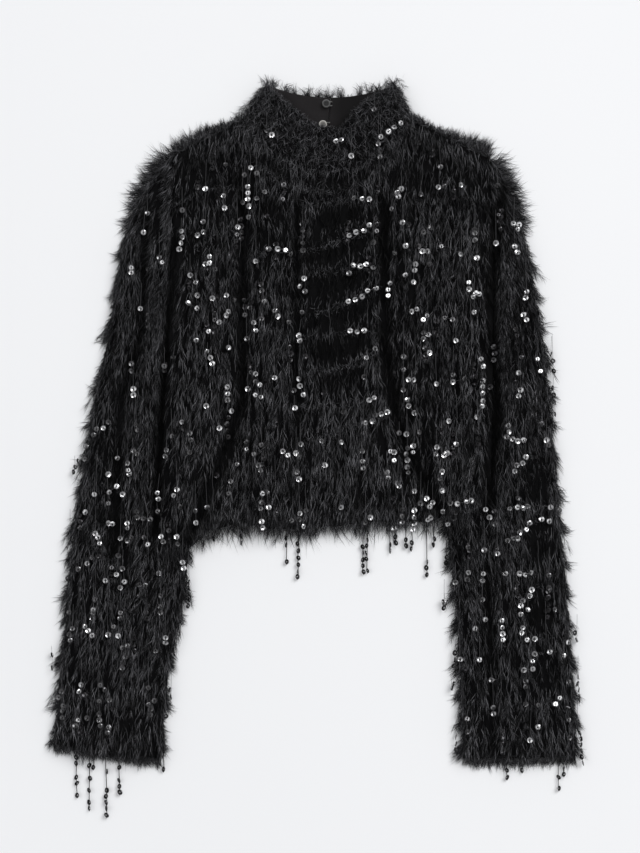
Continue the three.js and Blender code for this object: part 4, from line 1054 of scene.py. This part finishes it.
# Sequins on threads, by picture place from the top of each thread. Each table has its own shade: bright ones are
# painted light as a reflection of the light, dim ones a weaker painted reflection.
brightChains = [
    [(354, 199), (362, 200), (369, 200)], [(401, 190), (397, 194), (398, 198)],
    [(349, 236), (356, 233), (364, 232), (369, 226)], [(402, 224), (405, 247)], [(474, 234), (474, 241)],
    [(495, 244)], [(513, 224), (519, 225), (517, 230)], [(514, 247), (517, 253)], [(422, 252), (427, 252)],
    [(460, 255)], [(476, 259)], [(415, 265), (414, 271)], [(405, 276)], [(413, 283)],
    [(353, 266), (360, 267), (366, 265), (373, 268)], [(390, 284), (388, 290), (388, 296)], [(468, 283), (468, 290)],
    [(475, 294), (478, 295), (472, 298)], [(526, 292), (525, 298)],
    [(348, 302), (355, 300), (362, 297), (367, 291), (376, 289)], [(416, 310), (411, 312)], [(427, 316), (423, 320)],
    [(473, 313)], [(523, 315), (526, 320)], [(423, 333), (428, 335), (423, 339)], [(455, 341)], [(429, 353)],
    [(350, 331), (357, 332), (364, 331)], [(366, 358), (375, 349)], [(408, 380), (413, 380)],
    [(480, 359), (482, 367)], [(482, 381), (482, 387), (482, 394), (482, 401), (481, 406)], [(436, 384)],
    [(452, 382), (464, 379)], [(518, 373)], [(520, 390), (518, 396)], [(537, 359), (540, 371)],
    [(407, 400), (408, 406), (414, 413)], [(369, 400), (374, 398)],
    [(365, 423), (372, 421), (375, 415), (381, 414), (387, 412)], [(144, 233)],
    [(182, 232), (183, 238), (182, 244), (180, 250)], [(198, 236), (204, 233)],
    [(248, 188), (248, 194), (248, 200), (249, 207)], [(243, 203)], [(251, 169)], [(265, 193)], [(284, 186)],
    [(225, 209)], [(238, 228)], [(210, 258), (210, 264), (206, 265)], [(191, 276), (196, 283)], [(198, 296)],
    [(189, 304), (198, 309)], [(213, 299)], [(227, 296)], [(229, 312), (227, 316)], [(220, 323)], [(209, 332)],
    [(197, 341)], [(229, 348)], [(208, 352), (211, 358), (213, 364)], [(132, 268), (132, 273)], [(141, 309)],
    [(256, 262)], [(278, 250), (286, 251), (291, 255)], [(304, 279), (300, 287)], [(275, 311), (278, 317)],
    [(254, 323), (256, 331)], [(299, 336), (300, 341)], [(256, 374), (260, 385)], [(275, 378)],
    [(299, 379), (300, 386), (303, 395)], [(228, 387), (228, 394), (228, 400)], [(248, 389)],
    [(256, 395), (261, 397)], [(207, 406)], [(232, 411)], [(295, 408)], [(134, 389), (134, 395)], [(183, 422)],
    [(220, 428)], [(322, 441)], [(341, 442)], [(283, 451), (288, 455)], [(296, 453)], [(325, 465)], [(299, 479)],
    [(341, 507)], [(300, 513)], [(304, 526)], [(263, 493), (267, 492)], [(269, 507)], [(262, 521), (263, 527)],
    [(197, 522)], [(178, 489), (175, 495)], [(181, 506)], [(178, 536)], [(370, 517)],
    [(390, 451), (394, 452), (394, 460)], [(387, 472), (388, 478)], [(397, 483), (399, 486)], [(406, 434)],
    [(413, 446)], [(414, 491)], [(414, 510), (414, 517), (414, 523), (413, 529)], [(394, 528)],
    [(436, 447), (435, 454)], [(443, 455), (446, 453)], [(448, 421)], [(441, 471)], [(441, 490)],
    [(426, 498), (429, 506)], [(432, 502)], [(442, 511)], [(430, 517), (427, 519)], [(448, 524)], [(455, 444)],
    [(456, 503), (465, 501), (470, 500)], [(485, 509), (489, 517)], [(476, 417)], [(508, 426), (508, 432)],
    [(512, 439), (517, 441), (523, 440)], [(525, 457), (522, 463), (516, 465), (514, 471)], [(546, 440)],
    [(509, 508), (517, 507), (522, 508), (527, 506)], [(550, 507)], [(541, 519)], [(549, 521)],
    [(529, 523), (526, 529), (519, 532), (517, 538), (513, 538), (507, 540)], [(497, 553)], [(468, 572)],
    [(483, 573), (482, 580)], [(505, 573)], [(519, 573), (525, 574), (530, 572)],
    [(531, 589), (529, 595), (522, 600), (520, 605), (520, 614)], [(527, 609)], [(485, 619)],
    [(501, 620), (502, 627), (502, 633), (502, 639)], [(475, 628)], [(522, 627), (521, 632)],
    [(526, 639), (534, 638)], [(534, 653), (532, 660), (532, 668), (523, 669)], [(568, 642)], [(563, 655)],
    [(549, 651)], [(460, 659)], [(479, 659)], [(555, 703), (559, 697)], [(567, 707), (568, 719)], [(537, 726)],
    [(529, 739)], [(104, 428)], [(109, 474)], [(117, 486), (110, 492)], [(123, 494)], [(95, 494)], [(86, 512)],
    [(130, 474)], [(158, 493), (159, 499)], [(109, 523), (113, 524)], [(128, 523)],
    [(96, 533), (99, 537), (100, 543)], [(148, 544)], [(162, 536)], [(88, 563)], [(183, 562), (184, 568)],
    [(159, 573)], [(117, 574)], [(106, 580)], [(125, 581), (121, 587)], [(94, 609), (94, 612), (93, 618)],
    [(86, 626), (89, 630), (93, 635)], [(109, 634)], [(119, 635)], [(71, 640)], [(82, 684), (80, 691)],
    [(166, 637), (166, 642)], [(388, 133), (394, 128), (401, 124)], [(351, 157)], [(381, 138)],
    [(336, 143), (341, 141)], [(438, 188)], [(460, 186)], [(224, 197)], [(206, 190)], [(272, 136)],
]
dimChains = [
    [(148, 214)], [(204, 223)], [(249, 218)], [(216, 270)], [(174, 357)], [(165, 366)], [(160, 258), (163, 263)],
    [(303, 251)], [(269, 250)], [(305, 292)], [(264, 302)], [(262, 319)], [(247, 339)], [(245, 315)], [(302, 313)],
    [(289, 323)], [(256, 382)], [(132, 364), (132, 371)], [(373, 243)], [(391, 210)], [(423, 233), (430, 229)],
    [(418, 247)], [(441, 247)], [(394, 254)], [(429, 265)], [(349, 274)], [(444, 318), (452, 320)],
    [(403, 357), (403, 370), (403, 390)], [(364, 377)], [(343, 412)], [(452, 375)], [(226, 166)], [(245, 176)],
    [(257, 174)], [(257, 199)], [(267, 132)], [(183, 211)], [(191, 433), (192, 440), (191, 452)], [(173, 436)],
    [(167, 450), (166, 456)], [(247, 442), (247, 449)], [(254, 454)], [(262, 445)],
    [(262, 464), (259, 465), (261, 470)], [(237, 464)], [(231, 481), (229, 487), (229, 493)],
    [(262, 502), (261, 508)], [(208, 507)], [(196, 510)], [(301, 444)], [(300, 457)], [(297, 472)], [(306, 510)],
    [(292, 520)], [(299, 519)], [(364, 432)], [(362, 451)], [(362, 461), (363, 468)], [(365, 522)], [(399, 433)],
    [(419, 432)], [(407, 448), (406, 454), (407, 460)], [(413, 452)], [(407, 467), (408, 472)],
    [(402, 509), (402, 516), (402, 522)], [(439, 478)], [(420, 503)], [(449, 502)], [(442, 511)], [(506, 437)],
    [(541, 424)], [(548, 445)], [(517, 498)], [(559, 510)], [(496, 547)], [(484, 550)], [(468, 547)], [(467, 579)],
    [(455, 582)], [(548, 575), (548, 587)], [(482, 599)], [(554, 609)], [(491, 679)], [(525, 680), (525, 686)],
    [(568, 681)], [(525, 703)], [(538, 704)], [(493, 707), (493, 713)], [(467, 718)], [(467, 731)], [(569, 737)],
    [(553, 361)], [(137, 425), (138, 430)], [(97, 429), (94, 435)], [(109, 422)], [(134, 451), (138, 454)],
    [(118, 458)], [(86, 446), (85, 459)], [(128, 463), (129, 470)], [(109, 503)], [(158, 511)],
    [(137, 511), (138, 517)], [(144, 518), (151, 519)], [(128, 528)], [(121, 538)], [(128, 540), (132, 537)],
    [(145, 537)], [(164, 541)], [(179, 543)], [(93, 557)], [(119, 555)], [(79, 569)], [(123, 568)],
    [(140, 584), (146, 585)], [(161, 595), (161, 606), (161, 612)], [(96, 599)], [(121, 612), (121, 618)],
    [(70, 612)], [(73, 628), (70, 634)], [(114, 626)], [(123, 647), (128, 645)], [(126, 656)], [(123, 667)],
    [(156, 650)], [(101, 684), (106, 689)], [(149, 687)], [(100, 700)], [(110, 699)], [(62, 691), (59, 697)],
    [(64, 705), (63, 710), (63, 717)], [(79, 719)], [(88, 717)], [(100, 713), (100, 719), (101, 725)],
    [(109, 726), (108, 732)], [(101, 751)], [(76, 725)], [(155, 700), (149, 704), (151, 708), (151, 714)],
    [(374, 111)], [(378, 145), (380, 152), (380, 158)], [(440, 168)], [(497, 186)], [(420, 195)], [(474, 231)],
    [(445, 604)],
]
# Black against the pale floor, along the outline
edgeChains = [
    [(551, 354), (554, 371), (553, 388), (554, 395), (555, 402), (555, 414)], [(75, 467), (78, 461), (73, 472)],
    [(70, 542)], [(189, 582), (189, 588), (189, 594), (189, 600), (188, 606)], [(68, 578)], [(52, 655), (52, 668)],
    [(434, 545)], [(446, 563)], [(444, 608), (443, 602)], [(452, 688), (454, 684)],
    [(455, 653), (455, 660), (454, 666)], [(456, 737), (456, 744), (456, 750)], [(577, 640), (575, 633)],
    [(578, 677), (578, 684), (579, 690), (580, 696), (580, 701)], [(577, 724)],
    [(580, 733), (581, 739), (581, 745), (582, 751), (582, 757), (583, 763)], [(166, 716)], [(171, 697), (170, 690)],
]

# Strands that hang clear of the hem and cuffs: picture x, y where they leave and y of the end, and their sequins' y
hanging = [
    (204, 524, 544, (544,)), (214, 520, 539, (539,)), (241, 520, 543, (536, 543)), (287, 525, 562, (538, 545, 562)),
    (298, 525, 577, (530, 537, 544, 551, 558, 565, 572, 577)), (363, 515, 572, (547, 553, 560, 566, 572)),
    (367, 515, 571, (540, 546, 553, 559, 571)), (390, 515, 551, (545, 551)), (396, 515, 544, (537, 543)),
    (406, 515, 547, (540, 546)), (412, 515, 549, (543, 549)), (427, 515, 575, (562, 568, 575)),
    (434, 515, 545, (539, 545)), (446, 540, 563, (557, 563)), (76, 740, 796, (758, 764, 778, 784, 796)),
    (89, 740, 809, (766, 779, 791, 803, 809)), (93, 740, 768, (768,)),
    (106, 740, 816, (772, 791, 797, 803, 809, 816)), (119, 740, 793, (768, 781, 787, 793)), (164, 735, 770, (770,)),
    (507, 740, 778, (771, 778)), (523, 740, 771, (765, 771)), (559, 735, 789, (778, 789)),
    (564, 735, 775, (769, 775)),
]

# Long threads, painted lighter as sheen where they lie on the pile: picture x and y of the top and of the end
longThreads = [
    (303, 203, 303, 241), (403, 207, 404, 250), (403, 380, 403, 402), (367, 348, 367, 387), (348, 312, 348, 327),
    (367, 300, 368, 328), (300, 345, 299, 371), (348, 243, 349, 257), (375, 240, 374, 255), (260, 200, 259, 228),
    (241, 230, 240, 258), (224, 180, 225, 197), (206, 194, 206, 220), (378, 140, 379, 186), (424, 155, 419, 196),
    (412, 115, 411, 138), (349, 164, 349, 184), (260, 176, 261, 193), (330, 300, 329, 345), (284, 380, 284, 430),
    (441, 300, 441, 352), (455, 395, 456, 440), (214, 470, 214, 510), (276, 455, 275, 505), (345, 455, 345, 500),
    (470, 300, 470, 350), (150, 300, 149, 345), (98, 450, 97, 492), (125, 600, 124, 646), (140, 640, 139, 690),
    (512, 560, 512, 600), (545, 600, 545, 640), (500, 655, 500, 700), (538, 540, 538, 570), (415, 335, 415, 378),
    (236, 330, 236, 372),
]

sequin = {"radius": 3.05, "hole": 0.95, "cup": 0.62, "thick": 0.24, "sides": 11, "tilt": 0.24, "float": 5.4,
          "pitch": 6.8, "deepRows": 140, "deepFloat": 3.4, "looseFloat": 3.0, "onCloth": 8}
thread = {"loop": 0.36, "hanging": 0.45, "fine": 0.17, "loopLong": 3.1, "looseFloat": 2.4}


def pictureSpot(px, py):
    return tuple(float(v) for v in fromPicture(px, py))


def swayed(rng, start, end, bends, sway):
    # A thread's line from one place to another
    off = rng.normal(0, sway, bends)
    share = [k / (bends - 1) for k in range(bends)]
    return [(mixed(start[0], end[0], k) + o, mixed(start[1], end[1], k)) for k, o in zip(share, off)]


def placeSequins():
    rng = np.random.default_rng(91)
    spots, threads = [], []
    for chainList, tone in ((brightChains, 1.0), (dimChains, 0.24), (edgeChains, 0.03)):
        for places in chainList:
            px, py = fromPicture(*zip(*places))
            across = len(px) > 1 and np.ptp(px) > 1.2 * np.ptp(py)
            line = list(zip(px, py))
            if not across:
                line = [(px[0] + rng.normal(0, 1), py[0] + rng.uniform(8, 38))] + line
            threads.append((line, sequin["float"] + 0.3, tone))
            for k, (x, y) in enumerate(zip(px, py)):
                near = line[min(k + 1, len(line) - 1)]
                if across and k + 1 < len(px):
                    turn = math.atan2(near[1] - y, near[0] - x)
                else:
                    turn = -math.pi / 2 + rng.normal(0, 0.35)
                spots.append((x, y, sequin["float"] + rng.uniform(-0.5, 0.7), tone * rng.uniform(0.7, 1.0), turn))
    for x, start, end, places in hanging:
        top, foot = pictureSpot(x, start), pictureSpot(x, end)
        threads.append((swayed(rng, top, foot, 4, 0.4), thread["looseFloat"], -1.0))
        for y in places:
            away = top[0] + rng.normal(0, 0.45)
            spots.append((away, pictureSpot(x, y)[1], sequin["looseFloat"], 0.02, -math.pi / 2))
    for x, y, x2, y2 in longThreads:
        line = swayed(rng, pictureSpot(x, y), pictureSpot(x2, y2), 5, 0.6)
        threads.append((line, sequin["float"], 1.0))
    # Darker ones that lie deeper in the pile, painted darker as shade, in rows of one to four
    for _ in range(sequin["deepRows"]):
        where = rng.uniform((-270, -240), (260, 420))
        for k in range(rng.integers(1, 5)):
            x, y = where[0] + rng.normal(0, 0.6), where[1] - sequin["pitch"] * k
            if wholeMap(x, y) > sequin["onCloth"]:
                lift, shade = sequin["deepFloat"] + rng.uniform(-0.6, 0.5), rng.uniform(0.01, 0.1)
                spots.append((x, y, lift, shade, -math.pi / 2 + rng.normal(0, 0.3)))
    return spots, threads


def sequinMesh(name, spots, seed):
    rng = np.random.default_rng(seed)
    n, m = len(spots), sequin["sides"]
    x, y, lift, shade, _ = np.array(spots, float).T
    z = np.clip(wholeMap(x, y) + lift, 1.2, hair["highest"] - 1)
    spin = np.linspace(0, 2 * np.pi, m, endpoint=False)
    r, cup, hole, thick = sequin["radius"], sequin["cup"], sequin["hole"], sequin["thick"]
    profile = [(r, 0), (r * 0.66, -cup * 0.62), (hole, -cup), (r * 0.7, -cup * 0.62 - thick)]
    local = np.array([[(a * np.cos(t), a * np.sin(t), b) for t in spin] for a, b in profile]).reshape(-1, 3)
    local[:, 2] += cup / 2
    flip = rng.random(n) < 0.35
    tiltX, tiltY = rng.normal(0, sequin["tilt"], n), rng.normal(0, sequin["tilt"], n)
    loose = (shade < 0.035) & (wholeMap(x, y) < 4)  # those that hang free turn side on
    tiltY = np.where(loose, rng.choice([-1, 1], n) * rng.uniform(0.6, 1.35, n), tiltY)
    points = np.repeat(local[None], n, 0) * rng.uniform(0.9, 1.06, n)[:, None, None]
    points[flip, :, 2] *= -1
    cx, sx, cy, sy = (f(tilt)[:, None] for tilt in (tiltX, tiltY) for f in (np.cos, np.sin))
    px, py, pz = points[..., 0], points[..., 1], points[..., 2]
    py, pz = py * cx - pz * sx, py * sx + pz * cx
    px, pz = px * cy + pz * sy, -px * sy + pz * cy
    points = np.stack([px + x[:, None], py + y[:, None], np.maximum(pz + z[:, None], 0.25)], -1)
    ring = gridFaces(4, m, 0, False, True)
    close = rimFaces(np.arange(m), np.arange(m) + 3 * m, closed=True)
    one = np.concatenate([ring, close])
    faces = (np.arange(n) * 4 * m)[:, None, None] + one[None]
    faces[flip] = faces[flip][:, :, ::-1]
    tone = np.repeat(shade * rng.uniform(0.6, 1.0, n), 4 * m)
    return meshPiece(name, points.reshape(-1, 3), [faces.reshape(-1, 4)], sequinLook, tone, smooth=False)


def threadMesh(name, threads, spots):
    # Threads between the sequins, and the loop of thread that holds each one across its face
    points, faces, tones, base = [], [], [], 0
    long = thread["loopLong"]
    loops = [([(x, y), (x + long * math.cos(turn), y + long * math.sin(turn))], lift + 0.25, None)
             for x, y, lift, _, turn in spots]
    for line, lift, tone in threads + loops:
        line = np.array(line, float)
        step = np.linspace(0, len(line) - 1, max(4, 3 * len(line)))
        x = np.interp(step, range(len(line)), line[:, 0])
        y = np.interp(step, range(len(line)), line[:, 1])
        z = np.clip(wholeMap(x, y) + lift + 0.9, 1.0, hair["highest"])
        half = thread["loop" if tone is None else "hanging" if tone < 0 else "fine"]
        side = np.gradient(x), np.gradient(y)
        size = np.hypot(*side) + 1e-9
        nx, ny = -side[1] / size, side[0] / size
        rings = np.stack([stacked(x + nx * half, y + ny * half, z - half),
                          stacked(x - nx * half, y - ny * half, z - half), stacked(x, y, z + half)], 1)
        points.append(rings.reshape(-1, 3))
        # Threads on the pile are painted light as sheen; hanging threads and loops stay dark.
        tones.append(np.full(3 * len(x), 0.8 if tone and tone > 0 else 0.0))
        faces.append(gridFaces(len(x), 3, base, False, True))
        base += 3 * len(x)
    points, faces, tones = (np.concatenate(parts) for parts in (points, faces, tones))
    return meshPiece(name, points, [faces], threadLook, tones)


spots, threads = placeSequins()
sequinsMade = sequinMesh("sequins", spots, 92)
threadsMade = threadMesh("threads", threads, spots)
print("sequins threaded", len(spots))

for name, look in {**buttonLooks, "loop_upper": loopLook, "loop_lower": loopLook}.items():
    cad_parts[name].data.materials.clear()
    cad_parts[name].data.materials.append(look)

# Floor, light and camera
stage = {"sky": 0.375, "skyColour": (0.985, 0.99, 1.0), "floorHalf": 3,
         "keyLight": {"from": (0.50, 0.55, 0.80), "strength": 1.95, "soft": 38},
         "fillLight": {"from": (-0.55, 0.10, 0.85), "strength": 0.62, "soft": 50}}


def floorAndLight():
    mesh = bpy.data.meshes.new("floorSheet")
    half = stage["floorHalf"]
    mesh.from_pydata([(-half, -half, 0), (half, -half, 0), (half, half, 0), (-half, half, 0)], [], [(0, 1, 2, 3)])
    mesh.materials.append(floorLook)
    floor = bpy.data.objects.new("floorSheet", mesh)
    bpy.context.scene.collection.objects.link(floor)
    for name in ("keyLight", "fillLight"):
        lamp = bpy.data.lights.new(name, "SUN")
        lamp.energy, lamp.angle = stage[name]["strength"], math.radians(stage[name]["soft"])
        holder = bpy.data.objects.new(name, lamp)
        x, y, z = stage[name]["from"]
        holder.rotation_euler = (math.atan2(math.hypot(x, y), z), 0, math.atan2(y, x) + math.pi / 2)
        bpy.context.scene.collection.objects.link(holder)
    world = bpy.data.worlds.new("studio")
    world.use_nodes = True
    sky = world.node_tree.nodes["Background"]
    sky.inputs["Color"].default_value = (*stage["skyColour"], 1)
    sky.inputs["Strength"].default_value = stage["sky"]
    bpy.context.scene.world = world


def camera():
    lens, sensor = 100, 36
    x, y = fromPicture(picture["width"] / 2, picture["height"] / 2)
    tall = picture["height"] * picture["scale"]
    data = bpy.data.cameras.new("camera")
    data.lens, data.sensor_width = lens, sensor
    data.clip_end = 20
    holder = bpy.data.objects.new("camera", data)
    holder.location = toWorld([float(x), float(y), tall * lens / sensor + 8])
    bpy.context.scene.collection.objects.link(holder)
    bpy.context.scene.camera = holder


floorAndLight()
camera()
bpy.context.scene.view_settings.view_transform = "Standard"
bpy.context.view_layer.update()


print("ready")
